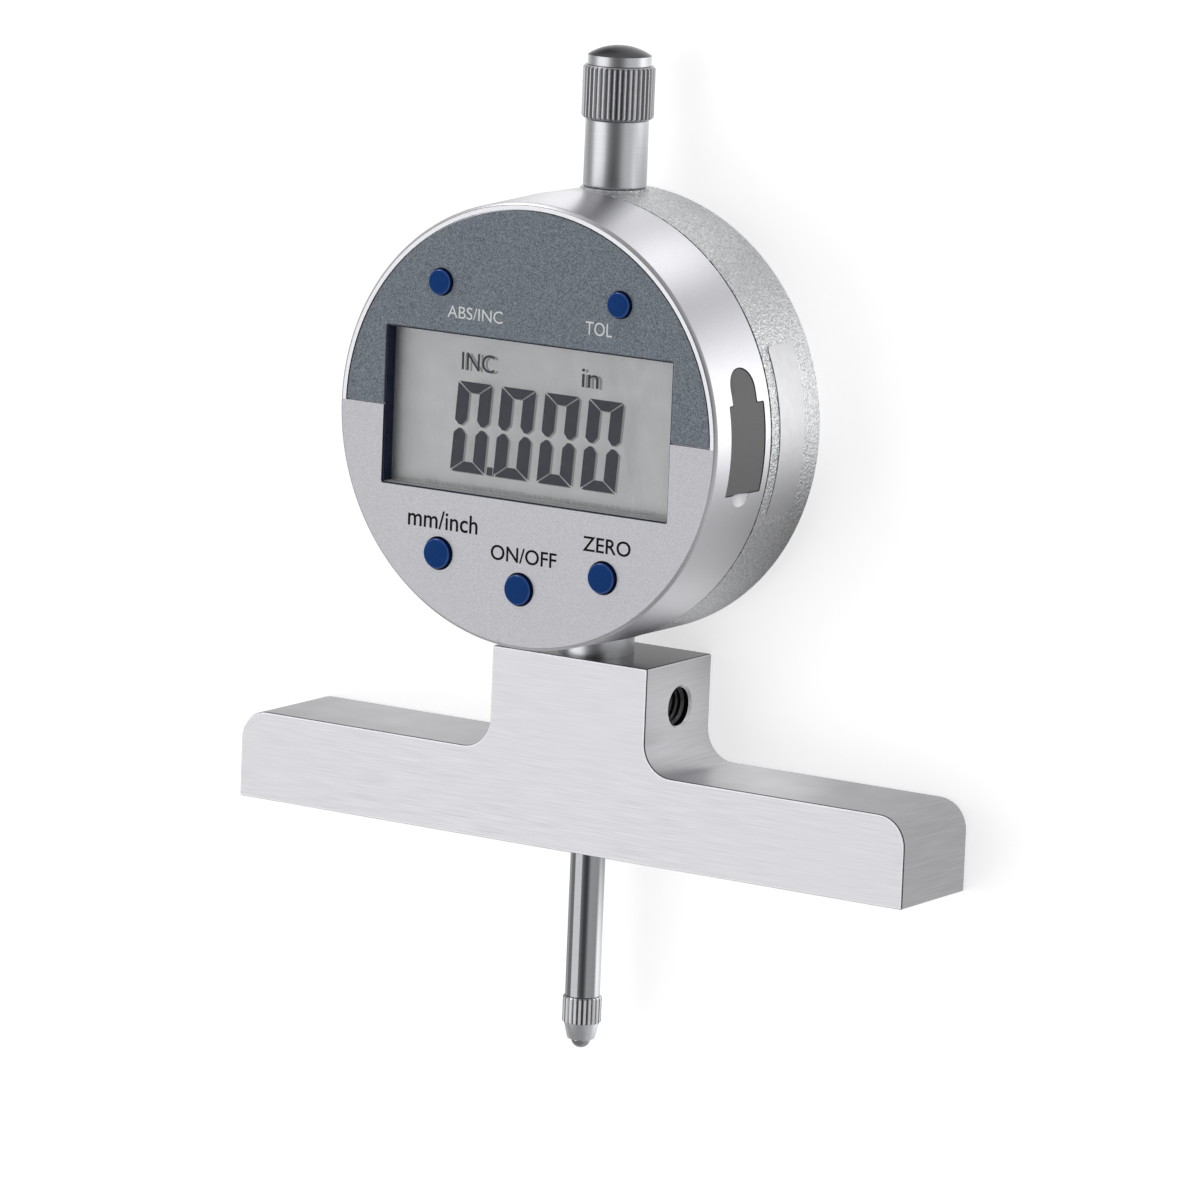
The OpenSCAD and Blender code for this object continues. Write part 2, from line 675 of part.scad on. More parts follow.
// Bent strips that touch the top and the bottom of the button cell
module battery_contact(pad_z, tip_z) {
    edge_x = tray_in_x - board_cut_gap - 0.2;
    low = min(pad_z, tip_z);
    high = max(pad_z, tip_z) + contact_strip_t;
    translate([0, case_y + cell_y - contact_strip_w / 2, 0]) {
        translate([edge_x - contact_pad_l, 0, pad_z])
            cube([contact_pad_l, contact_strip_w, contact_strip_t]);
        translate([edge_x - contact_strip_t, 0, low])
            cube([contact_strip_t, contact_strip_w, high - low]);
        translate([edge_x - contact_strip_t, 0, tip_z])
            cube([contact_reach, contact_strip_w, contact_strip_t]);
    }
}
module battery_contact_upper() color("goldenrod")
    battery_contact(board_z, cell_z + cell_t + face_gap);
module battery_contact_lower() color("goldenrod")
    battery_contact(board_back_z - contact_strip_t, cell_z - face_gap - contact_strip_t);

// Upper tube: a foot pressed into the case and a neck for the dust cap
tube_neck_h = 4.6;
module upper_tube() color("lightgray") difference() {
    union() {
        on_axis(tube_foot_y) cylinder(h = tube_boss_h, r = tube_neck_d / 2);
        on_axis(tube_y) cylinder(h = tube_l, r = tube_d / 2);
        on_axis(tube_y + tube_l) cylinder(h = tube_neck_h, r = tube_neck_d / 2);
    }
    on_axis(tube_foot_y - over)
        cylinder(h = tube_boss_h + tube_l + tube_neck_h + 2 * over, r = tube_bore / 2);
}
module dust_cap() color("gray") difference() {
    union() {
        on_axis(cap_y) intersection() {
            linear_extrude(cap_grip_h) ridged(cap_d / 2, cap_ridges, 0.28);
            rotate_extrude() polygon([[0, 0], [cap_d / 2 - 0.35, 0], [cap_d / 2, 0.35],
                [cap_d / 2, cap_grip_h - 0.35], [cap_d / 2 - 0.35, cap_grip_h], [0, cap_grip_h]]);
        }
        on_axis(cap_grip_top_y - over) cylinder(h = cap_plain_h + over, r = cap_plain_d / 2);
        cap_dome();
    }
    on_axis(cap_y - over)
        cylinder(h = tube_neck_h + 1.9 + over, r = tube_neck_d / 2 + 0.05);
}
// The dome is the top slice of a sphere
dome_r = (pow(cap_plain_d / 2, 2) + pow(cap_dome_h, 2)) / (2 * cap_dome_h);
module cap_dome() on_axis(cap_plain_top_y + cap_dome_h - dome_r) intersection() {
    sphere(dome_r);
    translate([0, 0, dome_r - cap_dome_h]) cylinder(h = dome_r, r = cap_plain_d / 2);
}
module guide_rod() color("silver") translate([rod_x, 0, 0])
    on_axis(rod_low_y) cylinder(h = rod_high_y - rod_low_y, r = rod_r);

// Return spring: a round wire wound between the carrier and the tube's foot
spring_low_y = carrier_top_y + face_gap + wire_d / 2;
spring_high_y = tube_foot_y - face_gap - wire_d / 2;
wire_sides = 6;
turn_steps = 18;
spring_rings = coil_turns * turn_steps;
function spring_point(i, k) =
    let (a = 360 * i / turn_steps, b = 360 * k / wire_sides,
         r = coil_d / 2 + wire_d / 2 * cos(b),
         h = spring_low_y + (spring_high_y - spring_low_y) * i / spring_rings)
    [r * cos(a), h + wire_d / 2 * sin(b), axis_z + r * sin(a)];
module return_spring() color("darkgray") polyhedron(
    points = [for (i = [0:spring_rings], k = [0:wire_sides - 1]) spring_point(i, k)],
    faces = concat(
        [[for (k = [0:wire_sides - 1]) k]],
        [[for (k = [wire_sides - 1:-1:0]) spring_rings * wire_sides + k]],
        [for (i = [0:spring_rings - 1], k = [0:wire_sides - 1])
            let (n = (k + 1) % wire_sides, a = i * wire_sides, b = a + wire_sides)
            [a + k, b + k, b + n, a + n]]));

module side_label() color("whitesmoke") at_case() rotate([0, 0, 2 - label_angle / 2])
    translate([0, 0, rear_top_z - 1.6 - label_w])
        rotate_extrude(angle = label_angle)
            translate([rear_r, 0]) square([label_t, label_w]);

// Spindle group
module spindle() color("white") difference() {
    union() {
        on_axis(ring_top_y) cylinder(h = spindle_top_y - ring_top_y - 0.4, r = spindle_r);
        on_axis(spindle_top_y - 0.4) cylinder(h = 0.4, r1 = spindle_r, r2 = spindle_r - 0.4);
    }
    on_axis(ring_top_y - over)
        cylinder(h = stud_l + 0.5 + over, r = stud_d / 2 + press_gap);
}
module contact_point() color("lightgray") difference() {
    union() {
        on_axis(nose_y) cylinder(h = contact_cone_h, r1 = contact_nose_d / 2,
            r2 = contact_d / 2 - 0.25);
        on_axis(ring_y) linear_extrude(contact_ring_h)
            ridged(contact_d / 2, contact_ridges, 0.18);
        on_axis(ring_top_y - over) cylinder(h = stud_l + over, r = stud_d / 2);
    }
    on_axis(ball_y) sphere(ball_d / 2 + press_gap);
}
module contact_ball() color("gainsboro") on_axis(ball_y) sphere(ball_d / 2);

// Carrier block: clamped on the spindle, forked round the guide rod, holds the moving scale
module scale_carrier() color("goldenrod") difference() {
    union() {
        translate([-carrier_w / 2, carrier_y, axis_z - carrier_back])
            cube([carrier_w, carrier_h, mover_z - axis_z + carrier_back]);
        translate([rod_x - rod_r - 0.8, arm_y, axis_z - arm_w / 2])
            cube([-rod_x + rod_r + 0.8, arm_t, arm_w]);
    }
    on_axis(carrier_y - over) cylinder(h = carrier_h + 2 * over, r = spindle_r + press_gap);
    translate([rod_x, arm_y - over, axis_z - arm_w])
        translate([-2 * rod_r - 1, 0, arm_w - rod_r - face_gap])
            cube([2 * rod_r + 1, arm_t + 2 * over, 2 * (rod_r + face_gap)]);
    translate([rod_x, 0, 0])
        on_axis(arm_y - over) cylinder(h = arm_t + 2 * over, r = rod_r + face_gap);
    translate([spindle_r, carrier_y + carrier_h - 2.2, axis_z]) rotate([0, 90, 0])
        cylinder(h = carrier_w, r = 0.8);
}
module carrier_screw() color("dimgray")
    translate([spindle_r + press_gap, carrier_y + carrier_h - 2.2, axis_z])
        rotate([0, 90, 0]) difference() {
            cylinder(h = carrier_w / 2 - spindle_r - 0.2, r = 0.8 - press_gap);
            translate([-1, -0.15, carrier_w / 2 - spindle_r - 0.7]) cube([2, 0.3, 1]);
        }
module moving_scale() color("darkseagreen")
    translate([-mover_w / 2, mover_y, mover_z]) cube([mover_w, mover_l, mover_t]);

// Buttons: cap, retaining flange and plunger, turned in one piece
module button(i) color("royalblue") at_button(i) {
    cap_r = button_places[i][2] / 2;
    flange_z = wall_z - face_gap - flange_t;
    plunger_z = board_z + switch_h + switch_pin_h + button_press + face_gap;
    translate([0, 0, flange_z]) rotate_extrude() polygon([
        [0, plunger_z - flange_z], [plunger_r, plunger_z - flange_z], [plunger_r, 0],
        [cap_r + flange_more, 0], [cap_r + flange_more, flange_t], [cap_r, flange_t],
        [cap_r, face_z + button_out - 0.3 - flange_z],
        [cap_r - 0.3, face_z + button_out - flange_z], [0, face_z + button_out - flange_z]]);
}
module button_abs_inc() button(0);
module button_tol() button(1);
module button_units() button(2);
module button_power() button(3);
module button_zero() button(4);

// Battery tray: keyhole cover with an open pocket for the cell behind it
module hatch_cover() difference() {
    intersection() {
        facing_x(tray_in_x) linear_extrude(case_r) keyhole(0);
        at_case() translate([0, 0, seam_z])
            cylinder(h = front_depth, r1 = case_r - cover_sink, r2 = front_r - cover_sink);
    }
    at_case() translate([0, 0, seam_z - over])
        cylinder(h = front_depth + 2 * over, r = front_in_r);
}
module tray_box() intersection() {
    translate([tray_in_x, case_y - hatch_drop, hatch_low_z])
        cube([tray_l, hatch_h, tray_top_z - hatch_low_z]);
    at_case() translate([0, 0, hatch_low_z]) cylinder(h = hatch_w, r = front_in_r + tray_root);
}
module battery_tray() color("dimgray") difference() {
    union() {
        hatch_cover();
        tray_box();
    }
    translate([cell_x, case_y + cell_y, cell_z]) cylinder(h = hatch_w, r = cell_d / 2 + cell_gap);
    // Slots that let the two contact strips reach the cell
    translate([tray_in_x - over, case_y + cell_y - tray_slot_w / 2, hatch_low_z - over])
        cube([cell_d / 2 + tray_end_wall + over, tray_slot_w, tray_floor + 2 * over]);
    translate([tray_in_x - over, case_y + cell_y - tray_slot_w / 2, hatch_low_z - over])
        cube([tray_end_wall + 2 * over, tray_slot_w, hatch_w + 2 * over]);
}
module battery_cell() color("lightgray") translate([cell_x, case_y + cell_y, cell_z])
    cylinder(h = cell_t, r = cell_d / 2);

base_block();
clamp_screw();
stem();
lower_bush();
upper_bush();
stop_washer();
rear_case();
back_plate();
back_plate_screws();
case_screws();
case_gasket();
front_housing();
face_inlay();
lcd_frame();
window_lens();
lcd_panel();
upper_contact_strip();
lower_contact_strip();
main_board();
board_screws();
stator_board();
controller_chip();
button_switches();
battery_contact_upper();
battery_contact_lower();
upper_tube();
guide_rod();
return_spring();
side_label();
spindle();
contact_point();
contact_ball();
scale_carrier();
carrier_screw();
moving_scale();
button_abs_inc();
button_tol();
button_units();
button_power();
button_zero();
battery_tray();
battery_cell();
dust_cap();
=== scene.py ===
import bpy
import math
from mathutils import Matrix, Vector


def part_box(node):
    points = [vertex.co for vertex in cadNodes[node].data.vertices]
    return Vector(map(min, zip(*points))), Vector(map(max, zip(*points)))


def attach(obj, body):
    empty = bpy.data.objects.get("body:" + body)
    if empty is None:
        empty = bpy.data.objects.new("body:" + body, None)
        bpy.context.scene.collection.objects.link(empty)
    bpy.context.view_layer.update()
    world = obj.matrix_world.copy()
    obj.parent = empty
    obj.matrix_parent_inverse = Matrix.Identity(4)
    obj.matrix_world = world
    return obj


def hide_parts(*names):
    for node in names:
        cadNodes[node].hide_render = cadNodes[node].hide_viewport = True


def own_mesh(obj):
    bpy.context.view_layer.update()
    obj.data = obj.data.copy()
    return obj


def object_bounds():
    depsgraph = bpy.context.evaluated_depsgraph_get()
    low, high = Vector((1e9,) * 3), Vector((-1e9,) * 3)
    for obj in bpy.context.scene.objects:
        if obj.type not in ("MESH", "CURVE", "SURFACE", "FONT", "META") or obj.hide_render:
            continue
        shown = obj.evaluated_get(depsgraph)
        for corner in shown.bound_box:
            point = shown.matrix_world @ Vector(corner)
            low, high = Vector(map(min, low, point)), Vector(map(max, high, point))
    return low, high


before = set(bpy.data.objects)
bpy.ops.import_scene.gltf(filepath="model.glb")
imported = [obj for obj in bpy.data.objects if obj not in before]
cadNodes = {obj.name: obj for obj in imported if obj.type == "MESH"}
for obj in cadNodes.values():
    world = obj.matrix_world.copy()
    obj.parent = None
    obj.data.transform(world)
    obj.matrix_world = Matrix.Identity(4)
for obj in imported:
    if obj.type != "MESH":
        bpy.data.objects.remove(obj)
cadLow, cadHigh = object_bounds()
mm = 0.001
weldGap = 0.0005 * mm    # doubles closer than this are merged on a new piece
looseGap = 0.001 * mm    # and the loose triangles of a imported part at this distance

# Places that many pieces share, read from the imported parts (metres)
housingLow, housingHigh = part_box("front_housing")
rearLow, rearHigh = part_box("rear_case")
baseLow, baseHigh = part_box("base_block")
spindleLow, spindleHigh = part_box("spindle")
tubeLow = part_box("upper_tube")[0]
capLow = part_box("dust_cap")[0]
caseY = (housingLow.y + housingHigh.y) / 2
caseR = (housingHigh.x - housingLow.x) / 2
faceZ = housingHigh.z
seamZ = housingLow.z
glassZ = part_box("lcd_panel")[1].z
axisZ = (spindleLow.z + spindleHigh.z) / 2
print("frame loaded:", len(cadNodes), "nodes")


# Small modelling steps that the pieces below share

def deselectAll():
    if bpy.context.object and bpy.context.object.mode != "OBJECT":
        bpy.ops.object.mode_set(mode="OBJECT")
    bpy.ops.object.select_all(action="DESELECT")


def activate(piece):
    deselectAll()
    piece.select_set(True)
    bpy.context.view_layer.objects.active = piece
    return piece


def rounded(corners, steps=5):
    # corners are (x, y, radius); the ones with a radius become arcs
    line = []
    for i, (x, y, radius) in enumerate(corners):
        corner = Vector((x, y))
        if radius <= 0:
            line.append(corner)
            continue
        before = (Vector(corners[i - 1][:2]) - corner).normalized()
        after = (Vector(corners[(i + 1) % len(corners)][:2]) - corner).normalized()
        opening = before.angle(after)
        reach = radius / math.tan(opening / 2)
        centre = corner + (before + after).normalized() * radius / math.sin(opening / 2)
        first = corner + before * reach - centre
        turn = first.angle_signed(corner + after * reach - centre)
        for k in range(steps + 1):
            line.append(centre + Matrix.Rotation(-turn * k / steps, 2) @ first)
    return line


def penLine(name, points):
    # one vertex is pulled from point to point like a pen
    deselectAll()
    bpy.ops.mesh.primitive_plane_add(size=mm, location=points[0])
    piece = bpy.context.object
    piece.name = name
    piece.data.name = name
    bpy.ops.object.transform_apply(location=True, rotation=True, scale=True)
    bpy.ops.object.mode_set(mode="EDIT")
    bpy.ops.mesh.select_mode(type="VERT")
    bpy.ops.mesh.select_all(action="SELECT")
    bpy.ops.mesh.merge(type="CENTER")
    for here, there in zip(points, points[1:]):
        bpy.ops.mesh.extrude_region_move(TRANSFORM_OT_translate={"value": there - here})
    return piece


def closeUp():
    bpy.ops.mesh.select_all(action="SELECT")
    bpy.ops.mesh.remove_doubles(threshold=weldGap)
    bpy.ops.mesh.normals_make_consistent(inside=False)
    bpy.ops.object.mode_set(mode="OBJECT")


def closeEnds():
    # the open ends of a swept section get their faces
    bpy.ops.object.mode_set(mode="EDIT")
    bpy.ops.mesh.select_all(action="SELECT")
    bpy.ops.mesh.fill_holes(sides=0)
    closeUp()


def prism(name, points, shift):
    # a flat outline pulled to a solid
    piece = penLine(name, points)
    bpy.ops.mesh.select_all(action="SELECT")
    bpy.ops.mesh.edge_face_add()
    bpy.ops.mesh.extrude_region_move(TRANSFORM_OT_translate={"value": Vector(shift)})
    closeUp()
    return piece


def turned(name, profile, centre, along, out, steps=96, loop=False):
    # profile is (radius, height) pairs, spun round the line through centre
    centre, along, out = Vector(centre), Vector(along), Vector(out)
    points = [centre + out * p[0] + along * p[1] for p in profile]
    if loop:
        points.append(points[0])
    piece = penLine(name, points)
    bpy.ops.mesh.select_all(action="SELECT")
    bpy.ops.mesh.spin(steps=steps, angle=2 * math.pi, center=centre, axis=along)
    closeUp()
    return piece


def onSpindle(name, profile, steps=64, loop=False):
    return turned(name, profile, (0, 0, axisZ), (0, 1, 0), (1, 0, 0), steps, loop)


def onCase(name, profile, steps=160, loop=False):
    return turned(name, profile, (0, caseY, 0), (0, 0, 1), (1, 0, 0), steps, loop)


def applyModifier(piece, kind, **values):
    activate(piece)
    modifier = piece.modifiers.new(kind.lower(), kind)
    for key, value in values.items():
        setattr(modifier, key, value)
    bpy.ops.object.modifier_apply(modifier=modifier.name)
    return piece


def bevelPiece(piece, width, segments=2, angle=35):
    return applyModifier(piece, "BEVEL", width=width, segments=segments, limit_method="ANGLE",
                         angle_limit=math.radians(angle), use_clamp_overlap=True)


def combine(piece, cutter, operation):
    applyModifier(piece, "BOOLEAN", object=cutter, operation=operation, solver="EXACT")
    bpy.data.objects.remove(cutter)
    return piece


def cutWith(piece, cutter):
    return combine(piece, cutter, "DIFFERENCE")


def joinPieces(pieces, name):
    activate(pieces[0])
    for other in pieces[1:]:
        other.select_set(True)
    bpy.ops.object.join()
    pieces[0].name = name
    pieces[0].data.name = name
    return pieces[0]


def rod(name, start, direction, radius, length, sides=48):
    # a straight cylinder that starts at a point, for bores and pins
    direction = Vector(direction)
    deselectAll()
    bpy.ops.mesh.primitive_cylinder_add(
        vertices=sides, radius=radius, depth=length,
        location=Vector(start) + direction * length / 2,
        rotation=direction.to_track_quat("Z", "Y").to_euler())
    bpy.context.object.name = name
    bpy.ops.object.transform_apply(location=True, rotation=True, scale=True)
    return bpy.context.object


def copyOfNode(node, name, bevel=0.0, angle=40):
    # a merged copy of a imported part, its flat faces whole again and its edges eased
    piece = cadNodes[node].copy()
    piece.data = cadNodes[node].data.copy()
    piece.parent = None
    for key in list(piece.keys()):
        del piece[key]
    piece.name = name
    piece.data.name = name
    bpy.context.scene.collection.objects.link(piece)
    activate(piece)
    piece.data.materials.clear()
    if piece.data.has_custom_normals:
        bpy.ops.mesh.customdata_custom_splitnormals_clear()
    bpy.ops.object.mode_set(mode="EDIT")
    bpy.ops.mesh.select_all(action="SELECT")
    bpy.ops.mesh.remove_doubles(threshold=looseGap)
    bpy.ops.mesh.dissolve_limited(angle_limit=math.radians(0.5))
    bpy.ops.object.mode_set(mode="OBJECT")
    if bevel:
        bevelPiece(piece, bevel, 2, angle)
    return piece


def finishPiece(piece, material, body, replaced=(), smooth=32):
    activate(piece)
    bpy.ops.object.transform_apply(location=True, rotation=True, scale=True)
    if smooth:
        bpy.ops.object.shade_smooth_by_angle(angle=math.radians(smooth))
        applyModifier(piece, "WEIGHTED_NORMAL", keep_sharp=True)
    if material:
        piece.data.materials.clear()
        piece.data.materials.append(material)
    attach(piece, body)
    if replaced:
        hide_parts(*replaced)
    return piece


def addFinishes(piece, *materials):
    for material in materials:
        piece.data.materials.append(material)


def makeNode(tree, kind, values=None, **settings):
    # one shader node, its settings and the start values of its inputs
    node = tree.nodes.new(kind)
    for key, value in settings.items():
        setattr(node, key, value)
    for key, value in (values or {}).items():
        node.inputs[key].default_value = value
    return node


# Camera, lamps and floor

cameraView = {
    "place": (537.85, 209.45, 838.62),       # mm
    "right": (0.83700, 0.03922, -0.54579),
    "up": (-0.12873, 0.98355, -0.12675),
    "back": (0.53184, 0.17635, 0.82828),
    "lens": 242.8, "sensor": 36.0,
    "nearest": 0.01,                         # m
}


def addCamera():
    deselectAll()
    bpy.ops.object.camera_add()
    camera = bpy.context.object
    camera.name = "photoCamera"
    turn = Matrix((cameraView["right"], cameraView["up"], cameraView["back"])).transposed()
    camera.matrix_world = Matrix.Translation(Vector(cameraView["place"]) * mm) @ turn.to_4x4()
    camera.data.lens = cameraView["lens"]
    camera.data.sensor_width = cameraView["sensor"]
    camera.data.clip_start = cameraView["nearest"]
    bpy.context.scene.camera = camera


studio = {
    "middle": (0.0, 0.045, 0.0), "floorSize": 6.0,       # m
    "sky": 0.40,
    # a dark card behind the camera gives the turned parts their dark middle band
    "cardSide": (0.48, 0.176, 0.858), "cardReach": (0.80, 0.96), "cardTone": 0.07,
    # the bright wall on the right
    "wallSide": (0.98, 0.05, 0.05), "wallReach": (0.45, 0.85), "wallTone": 0.74,
    # the floor: white in the picture; where a surface mirrors it, painted reflections: glowing
    # patches of set tones, the dark ones painted shade
    "paper": 0.86, "paperInPicture": 0.62, "mirrorShare": 0.9, "mirrorTone": 0.74,
    "paintedReflectionPatches": [
        # middle x, y and reach x, y on the floor in mm, tone
        (52, 62, 42, 36, 2.50),     # right of the case
        (-35, 14, 32, 9, 0.98),     # above the left arm
        (26, 41, 28, 18, 0.25),     # under the case's lower right
        (4, 37, 38, 17, 0.0),       # gap between the case and the base
        (20, 16, 14, 13, 1.2),      # beside the boss
        (-11, 95, 26, 17, 1.95),    # above the case, left of the tube
        (-14, 118, 15, 20, 0.0),    # left of the tube
        (19, 98, 17, 19, 2.2),      # right of the tube
        (11, -18, 15, 21, 2.8),     # right of the spindle
        (-13, -18, 12, 20, 0.05),   # left of the spindle
    ],
    "lamps": [
        # name, direction from the object, distance, size, power
        ("frontPanel", (-0.50, -0.15, 0.85), 0.90, 0.80, 2.35),
        ("topLeftLamp", (-0.56, 0.78, 0.28), 0.80, 0.30, 1.00),
    ],
}


def addLamps():
    for name, direction, distance, size, power in studio["lamps"]:
        direction = Vector(direction).normalized()
        place = Vector(studio["middle"]) + direction * distance
        deselectAll()
        bpy.ops.object.light_add(type="AREA", location=place)
        lamp = bpy.context.object
        lamp.name = name
        lamp.rotation_euler = direction.to_track_quat("Z", "Y").to_euler()
        lamp.data.shape = "SQUARE"
        lamp.data.size = size
        lamp.data.energy = power
        lamp.visible_camera = False


def addWorld():
    world = bpy.data.worlds.new("softStudio")
    bpy.context.scene.world = world
    world.use_nodes = True
    tree = world.node_tree
    tree.nodes.clear()
    link = tree.links.new
    coord = makeNode(tree, "ShaderNodeTexCoord")
    tones = []
    for side, reach in (("wallSide", "wallReach"), ("cardSide", "cardReach")):
        low, high = studio[reach]
        facing = makeNode(tree, "ShaderNodeVectorMath", {1: Vector(studio[side]).normalized()},
                          operation="DOT_PRODUCT")
        share = makeNode(tree, "ShaderNodeMapRange", {"From Min": low, "From Max": high},
                         interpolation_type="SMOOTHSTEP")
        link(coord.outputs["Generated"], facing.inputs[0])
        link(facing.outputs["Value"], share.inputs["Value"])
        tones.append(share.outputs["Result"])
    wall = makeNode(tree, "ShaderNodeMix", {"A": studio["sky"], "B": studio["wallTone"]})
    card = makeNode(tree, "ShaderNodeMix", {"B": studio["cardTone"]})
    link(tones[0], wall.inputs["Factor"])
    link(tones[1], card.inputs["Factor"])
    link(wall.outputs["Result"], card.inputs["A"])
    sky = makeNode(tree, "ShaderNodeBackground")
    white = makeNode(tree, "ShaderNodeBackground", {"Color": (1, 1, 1, 1), "Strength": 1.0})
    path = makeNode(tree, "ShaderNodeLightPath")
    pick = makeNode(tree, "ShaderNodeMixShader")
    out = makeNode(tree, "ShaderNodeOutputWorld")
    link(card.outputs["Result"], sky.inputs["Color"])
    link(path.outputs["Is Camera Ray"], pick.inputs["Fac"])
    link(sky.outputs["Background"], pick.inputs[1])
    link(white.outputs["Background"], pick.inputs[2])
    link(pick.outputs["Shader"], out.inputs["Surface"])


def addFloor():
    deselectAll()
    bpy.ops.mesh.primitive_grid_add(x_subdivisions=8, y_subdivisions=8, size=studio["floorSize"],
                                    location=(0, studio["middle"][1], cadLow.z))
    floor = bpy.context.object
    floor.name = "paleFloor"
    bpy.ops.object.transform_apply(location=True, rotation=True, scale=True)
    material = bpy.data.materials.new("paleFloorPaper")
    material.use_nodes = True
    tree = material.node_tree
    link = tree.links.new
    shader = tree.nodes["Principled BSDF"]
    paper = studio["paper"]
    for key, value in (("Base Color", (paper, paper, paper, 1)), ("Roughness", 0.9),
                       ("Specular IOR Level", 0.1), ("Emission Color", (1, 1, 1, 1))):
        shader.inputs[key].default_value = value
    # surfaces that mirror the floor see painted reflections: soft glowing patches on it that only
    # glossy and transmission rays see
    coord = makeNode(tree, "ShaderNodeTexCoord")
    tone = None
    for x, y, reachX, reachY, cardTone in studio["paintedReflectionPatches"]:
        place = makeNode(tree, "ShaderNodeMapping", {
            "Location": (-x / reachX, -y / reachY, 0),
            "Scale": (1 / reachX / mm, 1 / reachY / mm, 0)})
        patch = makeNode(tree, "ShaderNodeTexGradient", gradient_type="SPHERICAL")
        soft = makeNode(tree, "ShaderNodeMapRange", interpolation_type="SMOOTHSTEP")
        over = makeNode(tree, "ShaderNodeMix", {"A": studio["mirrorTone"], "B": cardTone})
        link(coord.outputs["Object"], place.inputs["Vector"])
        link(place.outputs["Vector"], patch.inputs["Vector"])
        link(patch.outputs["Fac"], soft.inputs["Value"])
        link(soft.outputs["Result"], over.inputs["Factor"])
        if tone:
            link(tone, over.inputs["A"])
        tone = over.outputs["Result"]
    paintedReflectionGlow = makeNode(tree, "ShaderNodeEmission")
    path = makeNode(tree, "ShaderNodeLightPath")
    either = makeNode(tree, "ShaderNodeMath", operation="MAXIMUM")
    mirrored = makeNode(tree, "ShaderNodeMath", {1: studio["mirrorShare"]}, operation="MULTIPLY")
    pictured = makeNode(tree, "ShaderNodeMath", {1: studio["paperInPicture"]}, operation="MULTIPLY")
    pick = makeNode(tree, "ShaderNodeMixShader")
    link(tone, paintedReflectionGlow.inputs["Strength"])
    link(path.outputs["Is Glossy Ray"], either.inputs[0])
    link(path.outputs["Is Transmission Ray"], either.inputs[1])
    link(either.outputs["Value"], mirrored.inputs[0])
    link(path.outputs["Is Camera Ray"], pictured.inputs[0])
    link(pictured.outputs["Value"], shader.inputs["Emission Strength"])
    link(mirrored.outputs["Value"], pick.inputs["Fac"])
    link(shader.outputs["BSDF"], pick.inputs[1])
    link(paintedReflectionGlow.outputs["Emission"], pick.inputs[2])
    link(pick.outputs["Shader"], tree.nodes["Material Output"].inputs["Surface"])
    floor.data.materials.append(material)


bpy.context.scene.view_settings.view_transform = "Standard"
addCamera()
addLamps()
addWorld()
addFloor()
print("studio ready")


# Finishes: shared effects are node groups, each material places them with its own values

def tone(red, green, blue):
    # a colour as seen on screen, 0 to 255, turned to the shader's scale
    return tuple(((c / 255 + 0.055) / 1.055) ** 2.4 if c > 10 else c / 255 / 12.92
                 for c in (red, green, blue)) + (1.0,)


def newGroup(name, inputs, outputs):
    tree = bpy.data.node_groups.new(name, "ShaderNodeTree")
    for label, kind, start in inputs:
        socket = tree.interface.new_socket(name=label, in_out="INPUT", socket_type=kind)
        if start is not None:
            socket.default_value = start
    for label, kind in outputs:
        tree.interface.new_socket(name=label, in_out="OUTPUT", socket_type=kind)
    return tree, makeNode(tree, "NodeGroupInput"), makeNode(tree, "NodeGroupOutput")


def buildGrainGroup():
    # rounded pebbles or streaks, as a height and a soft mask
    tree, entry, leave = newGroup(
        "castGrain",
        [("Vector", "NodeSocketVector", None), ("Scale", "NodeSocketFloat", 1.0),
         ("Detail", "NodeSocketFloat", 2.0), ("Contrast", "NodeSocketFloat", 0.5)],
        [("Height", "NodeSocketFloat"), ("Mask", "NodeSocketFloat")])
    noise = makeNode(tree, "ShaderNodeTexNoise")
    half = makeNode(tree, "ShaderNodeMath", {1: 0.5}, operation="MULTIPLY")
    low = makeNode(tree, "ShaderNodeMath", {0: 0.5}, operation="SUBTRACT")
    high = makeNode(tree, "ShaderNodeMath", {0: 0.5}, operation="ADD")
    spread = makeNode(tree, "ShaderNodeMapRange")
    link = tree.links.new
    link(entry.outputs["Vector"], noise.inputs["Vector"])
    link(entry.outputs["Scale"], noise.inputs["Scale"])
    link(entry.outputs["Detail"], noise.inputs["Detail"])
    link(entry.outputs["Contrast"], half.inputs[0])
    link(half.outputs["Value"], low.inputs[1])
    link(half.outputs["Value"], high.inputs[1])
    link(noise.outputs["Fac"], spread.inputs["Value"])
    link(low.outputs["Value"], spread.inputs["From Min"])
    link(high.outputs["Value"], spread.inputs["From Max"])
    link(noise.outputs["Fac"], leave.inputs["Height"])
    link(spread.outputs["Result"], leave.inputs["Mask"])
    return tree


grainGroup = buildGrainGroup()


